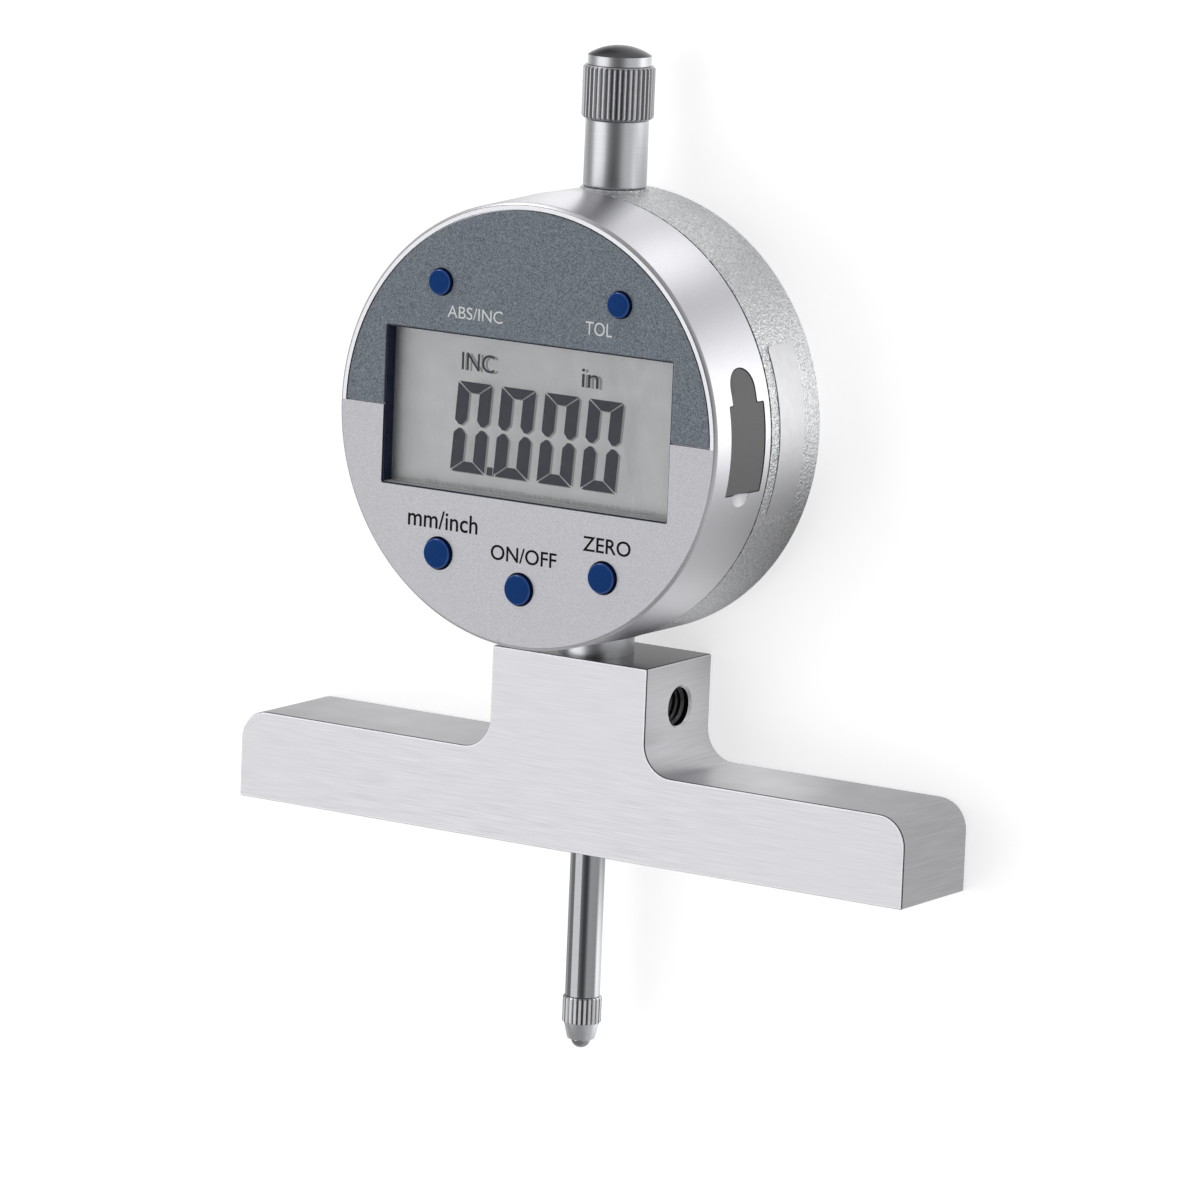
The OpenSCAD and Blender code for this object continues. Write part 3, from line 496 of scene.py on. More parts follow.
def makeFinish(name, color, shade, metallic, roughness, grain, depth=0.0, clouds=None,
               alpha=1.0, specular=0.5):
    # color and shade mix through the grain; roughness is (low, high) over the same grain
    # grain is (stretch x, y, z, contrast, detail); depth is the bump's height in mm
    # clouds are wide soft patches: (scale, contrast, colour)
    material = bpy.data.materials.new(name)
    material.use_nodes = True
    tree = material.node_tree
    link = tree.links.new
    shader = tree.nodes["Principled BSDF"]
    coord = makeNode(tree, "ShaderNodeTexCoord")
    stretch = makeNode(tree, "ShaderNodeMapping", {"Scale": grain[:3]})
    group = makeNode(tree, "ShaderNodeGroup", {"Contrast": grain[3], "Detail": grain[4]},
                     node_tree=grainGroup)
    link(coord.outputs["Object"], stretch.inputs["Vector"])
    link(stretch.outputs["Vector"], group.inputs["Vector"])

    blend = makeNode(tree, "ShaderNodeMix", {"A": tone(*color), "B": tone(*shade)},
                     data_type="RGBA")
    link(group.outputs["Mask"], blend.inputs["Factor"])
    seen = blend.outputs["Result"]
    if clouds:
        scale, contrast, cloudColor = clouds
        cloud = makeNode(tree, "ShaderNodeGroup", {"Scale": scale, "Contrast": contrast},
                         node_tree=grainGroup)
        over = makeNode(tree, "ShaderNodeMix", {"B": tone(*cloudColor)}, data_type="RGBA")
        link(coord.outputs["Object"], cloud.inputs["Vector"])
        link(cloud.outputs["Mask"], over.inputs["Factor"])
        link(seen, over.inputs["A"])
        seen = over.outputs["Result"]
    link(seen, shader.inputs["Base Color"])

    rough = makeNode(tree, "ShaderNodeMapRange",
                     {"To Min": roughness[0], "To Max": roughness[1]})
    link(group.outputs["Mask"], rough.inputs["Value"])
    link(rough.outputs["Result"], shader.inputs["Roughness"])
    if depth:
        bump = makeNode(tree, "ShaderNodeBump", {"Strength": 1.0, "Distance": depth * mm})
        link(group.outputs["Height"], bump.inputs["Height"])
        link(bump.outputs["Normal"], shader.inputs["Normal"])
    for key, value in (("Metallic", metallic), ("Specular IOR Level", specular), ("Alpha", alpha)):
        shader.inputs[key].default_value = value
    return material


fine = (3200, 3200, 3200, 0.8, 2)
groundSteel = makeFinish("groundSteel", (206, 206, 209), (172, 172, 176), 1.0, (0.34, 0.36),
                         (150, 6500, 150, 0.55, 3), clouds=(45, 0.9, (192, 192, 195)))
# near-white and near-black steel: painted highlight and painted shade for the two halves of the
# base's eased edges
paintedHighlightEdgeSteel = makeFinish("easedEdgePaintedHighlight", (244, 244, 247), (236, 236, 240), 0.6, (0.30, 0.40), fine)
paintedShadeEdgeSteel = makeFinish("easedEdgePaintedShade", (74, 74, 78), (62, 62, 66), 1.0, (0.30, 0.40), fine)
# the boss's polished top face, its steel darkened as painted shade
bossTopPaintedShadeSteel = makeFinish("bossTopPaintedShadeSteel", (88, 88, 92), (76, 76, 80), 1.0, (0.12, 0.18),
                          (700, 700, 5200, 0.8, 2), 0.0003)
# dark steel: painted shade for the clamp hole's wall and thread, deep in the hole
threadPaintedShadeSteel = makeFinish("threadPaintedShadeSteel", (92, 92, 95), (66, 66, 69), 1.0, (0.28, 0.38), fine)
polishedSteel = makeFinish("polishedSteel", (162, 163, 166), (154, 155, 158), 1.0, (0.07, 0.12),
                           (700, 5200, 700, 0.8, 2), 0.0002)
tubeSteel = makeFinish("turnedTubeSteel", (206, 207, 210), (196, 197, 201), 1.0, (0.30, 0.35),
                       (300, 6500, 300, 0.9, 2), 0.0002)
knurledSteel = makeFinish("knurledSteel", (186, 186, 190), (172, 172, 176), 1.0, (0.34, 0.40), fine)
# knurl tones: near-white crests are a painted highlight, dark grooves painted shade
crestPaintedHighlightSteel = makeFinish("knurlCrestPaintedHighlight", (252, 252, 254), (244, 244, 247), 0.1, (0.38, 0.46),
                        fine)
groovePaintedShadeSteel = makeFinish("knurlGroovePaintedShade", (104, 104, 109), (84, 84, 89), 1.0, (0.40, 0.50), fine)
capTopPaintedShadeSteel = makeFinish("capTopPaintedShadeSteel", (98, 98, 102), (86, 86, 90), 1.0, (0.24, 0.32),
                         (1600, 700, 1600, 0.8, 2), 0.0003)
housingSide = makeFinish("housingSideSatin", (210, 210, 214), (202, 202, 206), 0.95, (0.32, 0.38),
                         (3200, 3200, 3200, 0.8, 2), 0.0005)
housingFace = makeFinish("housingFaceBlasted", (202, 202, 207), (180, 180, 185), 0.75, (0.46, 0.50),
                         (6500, 6500, 6500, 0.5, 1))
rimBright = makeFinish("housingRimBright", (204, 204, 208), (196, 196, 200), 0.95, (0.24, 0.30),
                       (2600, 2600, 2600, 0.8, 2), 0.0003)
# near-white silver: painted highlight for the fingernail notch and the ledges under the inlay and
# the hatch
notchAndLedgePaintedHighlight = makeFinish("notchAndLedgePaintedHighlight", (248, 248, 250), (242, 242, 245), 0.3, (0.45, 0.52), fine)
rearCast = makeFinish("rearCaseBlasted", (226, 227, 228), (182, 183, 186), 0.85, (0.32, 0.40),
                      (3200, 3200, 3200, 0.42, 1), 0.3)
inlayPaint = makeFinish("inlayGreyPaint", (150, 158, 167), (80, 88, 97), 0.35, (0.50, 0.54),
                        (7000, 7000, 7000, 0.5, 1), specular=0.3)
buttonPlastic = makeFinish("buttonBluePlastic", (10, 66, 136), (8, 58, 124), 0.0, (0.24, 0.30),
                           (1200, 1200, 1200, 0.8, 2), 0.001, specular=0.06)
buttonEdgePaintedHighlight = makeFinish("buttonBluePaintedHighlight", (24, 84, 168), (18, 74, 152), 0.0, (0.16, 0.22),
                        (1200, 1200, 1200, 0.8, 2), specular=0.7)
buttonSidePaintedShade = makeFinish("buttonBluePaintedShade", (8, 34, 78), (6, 28, 66), 0.0, (0.34, 0.42),
                        (1200, 1200, 1200, 0.8, 2), specular=0.08)
hatchPlastic = makeFinish("hatchGreyPlastic", (134, 134, 135), (128, 128, 130), 0.0, (0.52, 0.60),
                          (3600, 3600, 3600, 0.7, 2), 0.001, specular=0.3)
linerPlastic = makeFinish("linerNavyPlastic", (34, 42, 72), (26, 33, 60), 0.0, (0.34, 0.46),
                          (1600, 1600, 1600, 0.8, 2), 0.001, specular=0.3)
sillPaintedReflection = makeFinish("linerSillPaintedReflection", (200, 201, 202), (192, 193, 194), 0.0, (0.60, 0.70),
                       (1600, 1600, 1600, 0.8, 2), specular=0.05)
panelGlass = makeFinish("displayGreyGlass", (217, 218, 219), (211, 212, 213), 0.6, (0.42, 0.50),
                        (420, 420, 420, 0.8, 2), specular=0.15)
segmentInk = makeFinish("displaySegmentInk", (86, 88, 96), (78, 80, 88), 0.0, (0.35, 0.42),
                        (900, 900, 900, 0.8, 2), specular=0.1)
segmentPaintedShadow = makeFinish("displayPaintedShadow", (158, 159, 160), (150, 151, 152), 0.2, (0.40, 0.48),
                      (900, 900, 900, 0.8, 2), specular=0.1)
windowClear = makeFinish("windowClear", (60, 62, 66), (52, 54, 58), 0.0, (0.04, 0.06),
                         (60, 60, 60, 0.8, 2), alpha=0.035)
printBlack = makeFinish("printBlack", (8, 8, 10), (12, 12, 14), 0.0, (0.45, 0.55), fine,
                        specular=0.1)
printWhite = makeFinish("printWhite", (244, 246, 248), (236, 238, 241), 0.0, (0.45, 0.55), fine)
labelFilm = makeFinish("labelFilm", (208, 208, 210), (198, 198, 201), 0.8, (0.42, 0.48),
                       (900, 900, 900, 0.8, 2), 0.0005)
bronze = makeFinish("bushBronze", (176, 132, 84), (150, 108, 66), 1.0, (0.30, 0.42), fine, 0.001)
rubber = makeFinish("blackRubber", (30, 30, 31), (22, 22, 23), 0.0, (0.62, 0.74), fine, 0.004)
boardGreen = makeFinish("boardGreenLacquer", (28, 88, 52), (36, 112, 66), 0.0, (0.28, 0.36),
                        (260, 900, 260, 0.25, 0), 0.004)
goldPlate = makeFinish("goldPlate", (222, 180, 96), (204, 160, 78), 1.0, (0.22, 0.30), fine)
darkScrew = makeFinish("darkScrewSteel", (92, 92, 95), (72, 72, 75), 1.0, (0.30, 0.42), fine, 0.001)
springSteel = makeFinish("springSteel", (158, 159, 162), (132, 133, 136), 1.0, (0.24, 0.34), fine)
chipPlastic = makeFinish("chipPlastic", (34, 34, 36), (26, 26, 28), 0.0, (0.50, 0.62), fine, 0.004)
switchPlastic = makeFinish("switchPlastic", (70, 70, 74), (60, 60, 64), 0.0, (0.44, 0.54), fine,
                           0.002)
plateSilver = makeFinish("backPlateSatin", (200, 200, 204), (182, 182, 187), 0.95, (0.34, 0.46),
                         (60, 4200, 4200, 0.9, 3))
print("finishes ready")


# The depth base

baseBlock = {
    "armHeight": 11.4, "bossWidth": 23.0, "fillet": 4.0, "corner": 3.8, "edge": 0.22,
    "seatHeight": 7.0, "exitHole": 6.0, "stemHole": 9.565,
    "clampThread": 4.9, "clampCore": 4.2, "clampMouth": 5.5,
}
clampRidge = {"start": 8.0, "pitch": 0.8, "turns": 3, "footShare": 0.46, "crest": 0.05,
              "bite": 0.03}


def clampPlace():
    # centre line of the clamp hole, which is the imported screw's
    low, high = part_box("clamp_screw")
    return (low.y + high.y) / 2, (low.z + high.z) / 2


def makeBase():
    b = baseBlock
    halfLength = (baseHigh.x - baseLow.x) / 2 / mm
    halfBoss = b["bossWidth"] / 2
    top = baseHigh.y / mm
    corners = [(-halfLength, 0, 0), (halfLength, 0, 0),
               (halfLength, b["armHeight"], b["corner"]), (halfBoss, b["armHeight"], b["fillet"]),
               (halfBoss, top, 0), (-halfBoss, top, 0),
               (-halfBoss, b["armHeight"], b["fillet"]), (-halfLength, b["armHeight"], b["corner"])]
    line = [Vector((p.x * mm, p.y * mm, baseLow.z)) for p in rounded(corners, 10)]
    piece = prism("depthBase", line, (0, 0, baseHigh.z - baseLow.z))
    bevelPiece(piece, b["edge"] * mm, 2, 40)
    cutWith(piece, rod("stemHole", (0, b["seatHeight"] * mm, axisZ), (0, 1, 0),
                       b["stemHole"] / 2 * mm, top * mm, 96))
    cutWith(piece, rod("exitHole", (0, -mm, axisZ), (0, 1, 0),
                       b["exitHole"] / 2 * mm, (b["seatHeight"] + 2) * mm, 64))
    # clamp hole with its countersunk mouth
    clampY, clampZ = clampPlace()
    deep = (b["clampMouth"] - b["clampThread"]) / 2
    threadR = b["clampThread"] / 2
    hole = turned("clampHole", [(0, 0), (threadR, 0), (threadR, halfBoss - deep),
                                (threadR + deep * 2, halfBoss + deep), (0, halfBoss + deep)],
                  (0, 0, 0), (1, 0, 0), (0, 1, 0), 64)
    for v in hole.data.vertices:
        v.co = v.co * mm + Vector((0, clampY, clampZ))
    cutWith(piece, hole)
    finishPiece(piece, groundSteel, "frame", ["base_block"])
    addFinishes(piece, threadPaintedShadeSteel, bossTopPaintedShadeSteel, paintedHighlightEdgeSteel, paintedShadeEdgeSteel)
    # painted shade on the hole wall 1 and boss top 2; painted highlight 3 on the clamp mouth and
    # one half of each eased edge, painted shade 4 on the other half
    clampLine = Vector((clampY, clampZ))
    for face in piece.data.polygons:
        middle, normal = face.center, face.normal
        fromClamp = (middle.yz - clampLine).length
        if halfBoss * mm / 2 < middle.x < (halfBoss - deep) * mm and \
                fromClamp < (threadR + 0.02) * mm:
            face.material_index = 1
        elif middle.x > (halfBoss - deep) * mm and 0.3 < normal.x < 0.95 and \
                fromClamp < b["clampMouth"] / 2 * mm:
            face.material_index = 3
        elif normal.y > 0.99 and middle.y > (top - 0.1) * mm:
            face.material_index = 2
        elif 0.3 < abs(normal.z) < 0.95:
            face.material_index = 3 if abs(normal.z) > 0.7 else 4
        elif middle.y > (top - b["edge"] * 1.2) * mm and 0.3 < normal.y < 0.95:
            face.material_index = 3 if normal.y < 0.7 else 4


def makeClampThread():
    # the thread's ridge winds along the hole's wall
    c = clampRidge
    foot, crest = c["pitch"] * c["footShare"], c["crest"]
    wall, core = baseBlock["clampThread"] / 2 + c["bite"], baseBlock["clampCore"] / 2
    ridge = penLine("clampThread", [Vector((x * mm, y * mm, 0)) for x, y in [
        (-foot, wall), (-crest, core), (crest, core), (foot, wall), (-foot, wall)]])
    closeUp()
    applyModifier(ridge, "SCREW", axis="X", angle=2 * math.pi, iterations=c["turns"],
                  screw_offset=c["pitch"] * mm, steps=40, render_steps=40)
    closeEnds()
    ridge.location = (c["start"] * mm, *clampPlace())
    finishPiece(ridge, threadPaintedShadeSteel, "frame", smooth=50)


# Front housing: a turned shell cut for the window, inlay, buttons, hatch and notch

housing = {
    "taper": 0.4, "wall": 1.6, "sideWall": 2.1, "rim": 0.36, "rimRound": 0.2,
    # posts as x, y, radius: four reach the seam, the others stop at the board's depth
    "casePost": (6.8, 20.7, 2.0), "boardPosts": [(19.53, 13.6, 1.6), (19.94, -13.0, 1.6)],
    "boardDepth": 5.9,
    "window": (42.2, 19.9), "windowUp": 0.55,
    "inlayRim": 1.05, "inlayThick": 0.5, "inlayGap": 0.15, "inlayEdgeUp": 0.55,
    "inlayEase": 0.06,
    "buttonGap": 0.1, "buttonMouth": 0.32, "mouthDepth": 0.12,
    "hatchGap": 0.12, "notch": 1.85, "notchDepth": 0.55,
    "buttons": [
        # name, node, body, distance from the edge, angle from the top, cap diameter
        ("buttonAbsInc", "button_abs_inc", "abs_inc_button", 6.95, -38.3, 3.2),
        ("buttonTol", "button_tol", "tol_button", 6.95, 38.3, 3.2),
        ("buttonUnits", "button_units", "units_button", 7.05, 215.2, 3.8),
        ("buttonPower", "button_power", "power_button", 7.9, 180.0, 3.8),
        ("buttonZero", "button_zero", "zero_button", 7.05, 144.8, 3.8)],
}
hatch = {
    "height": 11.0, "width": 7.2, "tongueWidth": 5.0, "tongueLength": 4.3,
    "drop": 5.7, "depth": 3.4, "tongueShift": 0.3, "edge": 0.1,
}


def buttonPlace(row):
    reach = caseR - row[3] * mm
    turn = math.radians(row[4])
    return reach * math.sin(turn), caseY + reach * math.cos(turn)


def keyholeLine(grow, x):
    # square hatch with a round-ended tongue, in the plane across the case's side
    h = hatch
    top = faceZ / mm - h["depth"] + grow
    low = top - h["width"] - 2 * grow
    tongueZ = (top + low) / 2 + h["tongueShift"]
    half = h["tongueWidth"] / 2 + grow
    foot = -h["drop"] - grow
    neck = h["height"] - h["drop"] + grow
    head = h["height"] - h["drop"] + h["tongueLength"] + grow
    corners = [(foot, low, 0.2), (neck, low, 0.25), (neck, tongueZ - half, 0.15),
               (head, tongueZ - half, half * 0.96), (head, tongueZ + half, half * 0.96),
               (neck, tongueZ + half, 0.15), (neck, top, 0.25), (foot, top, 0.2)]
    return [Vector((x, caseY + p.x * mm, p.y * mm)) for p in rounded(corners, 8)]


def inlayLine(z, grow, steps=56):
    # the upper part of a disc above a straight edge
    h = housing
    radius = caseR / mm - h["taper"] - h["inlayRim"] + grow
    edge = h["inlayEdgeUp"] - grow
    start = math.asin(edge / radius)
    return [Vector((radius * math.cos(a) * mm, caseY + radius * math.sin(a) * mm, z))
            for a in (start + (math.pi - 2 * start) * k / steps for k in range(steps + 1))]


def windowBlock(name, grow, low, high, corner=0.25):
    h = housing
    halfW, halfH = h["window"][0] / 2 + grow, h["window"][1] / 2 + grow
    up = caseY / mm + h["windowUp"]
    corners = [(-halfW, up - halfH, corner), (halfW, up - halfH, corner),
               (halfW, up + halfH, corner), (-halfW, up + halfH, corner)]
    return prism(name, [Vector((p.x * mm, p.y * mm, low)) for p in rounded(corners, 3)],
                 (0, 0, high - low))


def makePosts(wallZ):
    h = housing
    z, seam = faceZ / mm, seamZ / mm
    x, y, radius = h["casePost"]
    rows = [(sx * x, sy * y, radius, seam) for sx in (1, -1) for sy in (1, -1)]
    rows += [(sx * x, y, radius, z - h["boardDepth"])
             for x, y, radius in h["boardPosts"] for sx in (1, -1)]
    posts = [rod("post", (x * mm, caseY + y * mm, low * mm), (0, 0, 1), radius * mm,
                 (wallZ + 0.4 - low) * mm, 32) for x, y, radius, low in rows]
    return joinPieces(posts, "posts")


def notchSpot():
    # the notch's middle on the tapered side, at the hatch's lower end, and the way it faces
    r, z, seam = caseR / mm, faceZ / mm, seamZ / mm
    up = z - hatch["depth"] - hatch["width"] / 2 + hatch["tongueShift"]
    turn = math.asin(hatch["drop"] / r)
    out = Vector((math.cos(turn), -math.sin(turn), 0))
    place = out * (r - housing["taper"] * (up - seam) / (z - seam)) * mm
    return place + Vector((0, caseY, up * mm)), out


def makeScoop():
    # a flat cap of a sphere, for the fingernail
    wide, deep = housing["notch"], housing["notchDepth"]
    scoopR = (wide ** 2 + deep ** 2) / (2 * deep)
    opening = math.asin(wide / scoopR)
    scoop = [(scoopR * math.sin(opening * k / 8), scoopR * (1 - math.cos(opening * k / 8)) - deep)
             for k in range(9)] + [(wide, 1), (0, 1)]
    place, out = notchSpot()
    return turned("notch", [(x * mm, y * mm) for x, y in scoop], place, out, (0, 0, 1), 64)


def makeHousing():
    h = housing
    r, faceR = caseR / mm, caseR / mm - h["taper"]
    innerR, wallZ, z, seam = r - h["sideWall"], faceZ / mm - h["wall"], faceZ / mm, seamZ / mm
    outer = rounded([(innerR, seam, 0), (r - 0.02, seam, 0.12), (r, seam + 0.1, 0),
                     (faceR, z - h["rim"], h["rimRound"]), (faceR - h["rim"], z, h["rimRound"]),
                     (0, z, 0), (0, wallZ, 0), (innerR, wallZ, 0)], 3)
    piece = onCase("frontHousing", [(p.x * mm, p.y * mm) for p in outer], 192, loop=True)
    combine(piece, makePosts(wallZ), "UNION")
    cutWith(piece, windowBlock("windowHole", 0, wallZ * mm - mm, faceZ + mm))
    cutWith(piece, prism("inlayBed", inlayLine(faceZ - h["inlayThick"] * mm, h["inlayGap"]),
                         (0, 0, 2 * mm)))
    for row in h["buttons"]:
        x, y = buttonPlace(row)
        holeR = (row[5] / 2 + h["buttonGap"]) * mm
        mouthR = holeR + h["buttonMouth"] * mm
        cutWith(piece, turned(
            row[0] + "Hole", [(0, wallZ * mm - mm), (holeR, wallZ * mm - mm),
                              (holeR, faceZ - h["mouthDepth"] * mm), (mouthR, faceZ + 0.2 * mm),
                              (0, faceZ + 0.2 * mm)],
            (x, y, 0), (0, 0, 1), (1, 0, 0), 48))
    hatchHole = keyholeLine(h["hatchGap"], (innerR - 3) * mm)
    cutWith(piece, prism("hatchHole", hatchHole, (10 * mm, 0, 0)))
    cutWith(piece, makeScoop())
    # the blasted face ends at the inlay's lower edge; above it only the bright rim is left
    edgeY = caseY + (h["inlayEdgeUp"] - h["inlayGap"]) * mm
    activate(piece)
    bpy.ops.object.mode_set(mode="EDIT")
    bpy.ops.mesh.select_all(action="SELECT")
    bpy.ops.mesh.bisect(plane_co=(0, edgeY, 0), plane_no=(0, 1, 0))
    bpy.ops.object.mode_set(mode="OBJECT")
    finishPiece(piece, housingSide, "frame", ["front_housing"], smooth=30)
    addFinishes(piece, housingFace, rimBright, notchAndLedgePaintedHighlight)
    toneHousing(piece, edgeY)


def toneHousing(piece, edgeY):
    # face 1, rim above the inlay's edge 2, painted highlight on the notch and the ledges that face
    # up 3
    deep, wide = housing["notchDepth"] * mm, housing["notch"] * mm
    taper = housing["taper"] * mm
    hair = 0.02 * mm
    ledgeY = caseY - (hatch["drop"] + housing["hatchGap"]) * mm
    ledgeX = (caseR - housing["sideWall"] * mm) / 2
    notchPlace = notchSpot()[0]
    for face in piece.data.polygons:
        middle, normal = face.center, face.normal
        out = Vector((middle.x, middle.y - caseY)).length
        sideR = caseR - taper * (middle.z - seamZ) / (faceZ - seamZ)
        onInlayEdge = abs(middle.y - edgeY) < hair
        onHatchEdge = middle.x > ledgeX and abs(middle.y - ledgeY) < hair
        if normal.z > 0.9 and abs(middle.z - faceZ) < hair:
            face.material_index = 2 if middle.y > edgeY else 1
        elif normal.x > 0.3 and sideR - 2 * deep < out < sideR - 0.03 * mm and \
                (middle - notchPlace).length < wide * 1.05:
            face.material_index = 3
        elif normal.y > 0.9 and (onInlayEdge or onHatchEdge):
            face.material_index = 3


def makeInlay():
    h = housing
    thick = h["inlayThick"] * mm
    piece = prism("faceInlay", inlayLine(faceZ - thick, 0), (0, 0, thick))
    cutWith(piece, windowBlock("inlayWindow", 0.0, faceZ - 2 * mm, faceZ + mm))
    for row in h["buttons"][:2]:
        x, y = buttonPlace(row)
        cutWith(piece, rod("inlayHole", (x, y, faceZ - 2 * mm), (0, 0, 1),
                           (row[5] / 2 + h["buttonGap"]) * mm, 4 * mm, 48))
    bevelPiece(piece, h["inlayEase"] * mm, 1, 40)
    finishPiece(piece, inlayPaint, "frame", ["face_inlay"], smooth=25)


# Five push buttons, turned with a rounded edge and a slightly crowned top

pushButton = {
    "edge": 0.3, "crown": 0.06, "plunger": 1.0,
    "flange": 0.6, "flangeThick": 1.0, "flangeDrop": 0.05, "flangeRound": 0.1,
}


def makeButtons():
    p = pushButton
    for row in housing["buttons"]:
        name, node, body, width = row[0], row[1], row[2], row[5]
        x, y = buttonPlace(row)
        low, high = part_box(node)
        capR, flangeR = width / 2, width / 2 + p["flange"]
        top, foot = high.z / mm, low.z / mm
        flangeLow = faceZ / mm - housing["wall"] - p["flangeDrop"] - p["flangeThick"]
        flangeTop = flangeLow + p["flangeThick"]
        outline = rounded([(0, foot, 0), (p["plunger"], foot, 0), (p["plunger"], flangeLow, 0),
                           (flangeR, flangeLow, p["flangeRound"]),
                           (flangeR, flangeTop, p["flangeRound"]), (capR, flangeTop, 0),
                           (capR, top - p["crown"], p["edge"]), (0, top, 0)], 5)
        piece = turned(name, [(q.x * mm, q.y * mm) for q in outline], (x, y, 0), (0, 0, 1),
                       (1, 0, 0), 56, loop=True)
        finishPiece(piece, buttonPlastic, body, [node], smooth=40)
        addFinishes(piece, buttonSidePaintedShade, buttonEdgePaintedHighlight)
        # the side walls take a darker blue as painted shade; the rounded edge a lighter blue as
        # painted highlight, with more gloss as well
        for face in piece.data.polygons:
            if face.normal.z < 0.9:
                face.material_index = 1 if face.normal.z < 0.3 else 2


# Display: clear window, segments, words and their painted soft shadows

display = {
    "inkThick": 0.03, "ghostThick": 0.015, "ghostShift": (0.30, -0.10), "wordShift": (0.52, -0.06),
    "digits": 4, "first": -12.2, "pitch": 6.42, "low": -7.0,
    "width": 5.05, "height": 11.3, "upright": 1.85, "bar": 1.32, "slant": 4.3, "miter": 0.075,
    # the uprights' points at the waist: gap, shoulder inside and outside, ends of the point
    "waist": 0.22, "shoulders": (0.95, 0.8), "pointShares": (0.62, 0.36),
    "point": (-6.76, -6.98, 0.82, 1.02),
    "words": [
        # name, text, left, right, bottom, top
        ("readoutMode", "INC", -10.98, -6.15, 5.72, 7.95),
        ("readoutUnit", "in", 6.7, 9.15, 5.6, 7.88)],
}


def zeroSegments():
    # six bars of a zero, mitred at the corners and pointed at the waist
    d = display
    w, h, s, t, m = d["width"], d["height"], d["upright"], d["bar"], d["miter"]
    mid, waist = h / 2, d["waist"]
    inner, outer = d["shoulders"]
    near, far = d["pointShares"]
    topBar = [(2 * m, h), (w - 2 * m, h), (w - s - m, h - t), (s + m, h - t)]
    leftTop = [(0, h - 2 * m), (s - m, h - t - m), (s - m, mid + inner), (s * near, mid + waist),
               (s * far, mid + waist), (0, mid + outer)]
    upper = [topBar, leftTop, [(w - x, y) for x, y in leftTop]]
    return upper + [[(x, h - y) for x, y in outline] for outline in upper]


def inkPrism(name, outline, startX, startY, z, thick):
    lean = math.tan(math.radians(display["slant"]))
    line = [Vector(((startX + x + y * lean) * mm, caseY + (startY + y) * mm, z))
            for x, y in outline]
    return prism(name, line, (0, 0, thick * mm))


def makeReadout():
    d = display
    pointX, pointY, pointW, pointH = d["point"]
    pointLine = [(0, 0), (pointW, 0), (pointW, pointH), (0, pointH)]
    # the second layer is a painted shadow: flat paler copies of the segments and words, shifted a
    # little on the display glass
    for label, thick, shift, wordShift, material in (
            ("Ink", d["inkThick"], (0, 0), (0, 0), segmentInk),
            ("Shadow", d["ghostThick"], d["ghostShift"], d["wordShift"], segmentPaintedShadow)):
        startX, startY = d["first"] + shift[0], d["low"] + shift[1]
        bars = [inkPrism("bar", outline, startX, startY, glassZ, thick)
                for outline in zeroSegments()]
        zeros = [joinPieces(bars, "readoutZero" + label)]
        for i in range(1, d["digits"]):
            twin = zeros[0].copy()
            twin.data = zeros[0].data.copy()
            bpy.context.scene.collection.objects.link(twin)
            twin.location.x += i * d["pitch"] * mm
            zeros.append(twin)
        zeros.append(inkPrism("point", pointLine, pointX + shift[0], pointY + shift[1],
                              glassZ, thick))
        digits = joinPieces(zeros, "readoutDigits" + label)
        finishPiece(digits, material, "frame", smooth=0)
        aside, down = wordShift
        for name, text, x0, x1, y0, y1 in d["words"]:
            word = makeWord(name + label, text, (x0 + aside, x1 + aside), (y0 + down, y1 + down),
                            glassZ, thick)
            finishPiece(word, material, "frame", smooth=0)


def makeWord(name, text, across, up, z, thick, bold=0.0):
    # text is made a mesh, fitted to its box and laid on the surface at height z
    deselectAll()
    bpy.ops.object.text_add()
    word = bpy.context.object
    word.name = name
    word.data.body = text
    word.data.extrude = 0.5
    word.data.resolution_u = 6
    word.data.offset = bold
    bpy.ops.object.convert(target="MESH")
    word = bpy.context.object
    word.data.name = name
    xs = [v.co.x for v in word.data.vertices]
    ys = [v.co.y for v in word.data.vertices]
    scaleX = (across[1] - across[0]) * mm / (max(xs) - min(xs))
    scaleY = (up[1] - up[0]) * mm / (max(ys) - min(ys))
    word.scale = (scaleX, scaleY, thick * mm)
    word.location = (across[0] * mm - min(xs) * scaleX, caseY + up[0] * mm - min(ys) * scaleY,
                     z + thick * mm / 2)
    bpy.ops.object.transform_apply(location=True, rotation=True, scale=True)
    bpy.ops.object.mode_set(mode="EDIT")
    closeUp()
    return word


faceWords = {
    "thick": 0.02, "bold": 0.008,
    "words": [
        ("wordAbsInc", "ABS/INC", (-12.04, -3.89), (12.34, 13.85), printWhite),
        ("wordTol", "TOL", (8.23, 12.12), (12.45, 14.11), printWhite),
        ("wordUnits", "mm/inch", (-16.83, -6.46), (-14.2, -11.9), printBlack),
        ("wordPower", "ON/OFF", (-4.36, 5.31), (-16.95, -15.05), printBlack),
        ("wordZero", "ZERO", (9.09, 16.03), (-14.19, -12.3), printBlack)],
}


def makeFaceWords():
    for name, text, across, up, material in faceWords["words"]:
        bold = faceWords["bold"] if material is printBlack else 0.0
        word = makeWord(name, text, across, up, faceZ, faceWords["thick"], bold)
        finishPiece(word, material, "frame", smooth=0)


windowLiner = {"edge": 0.05}


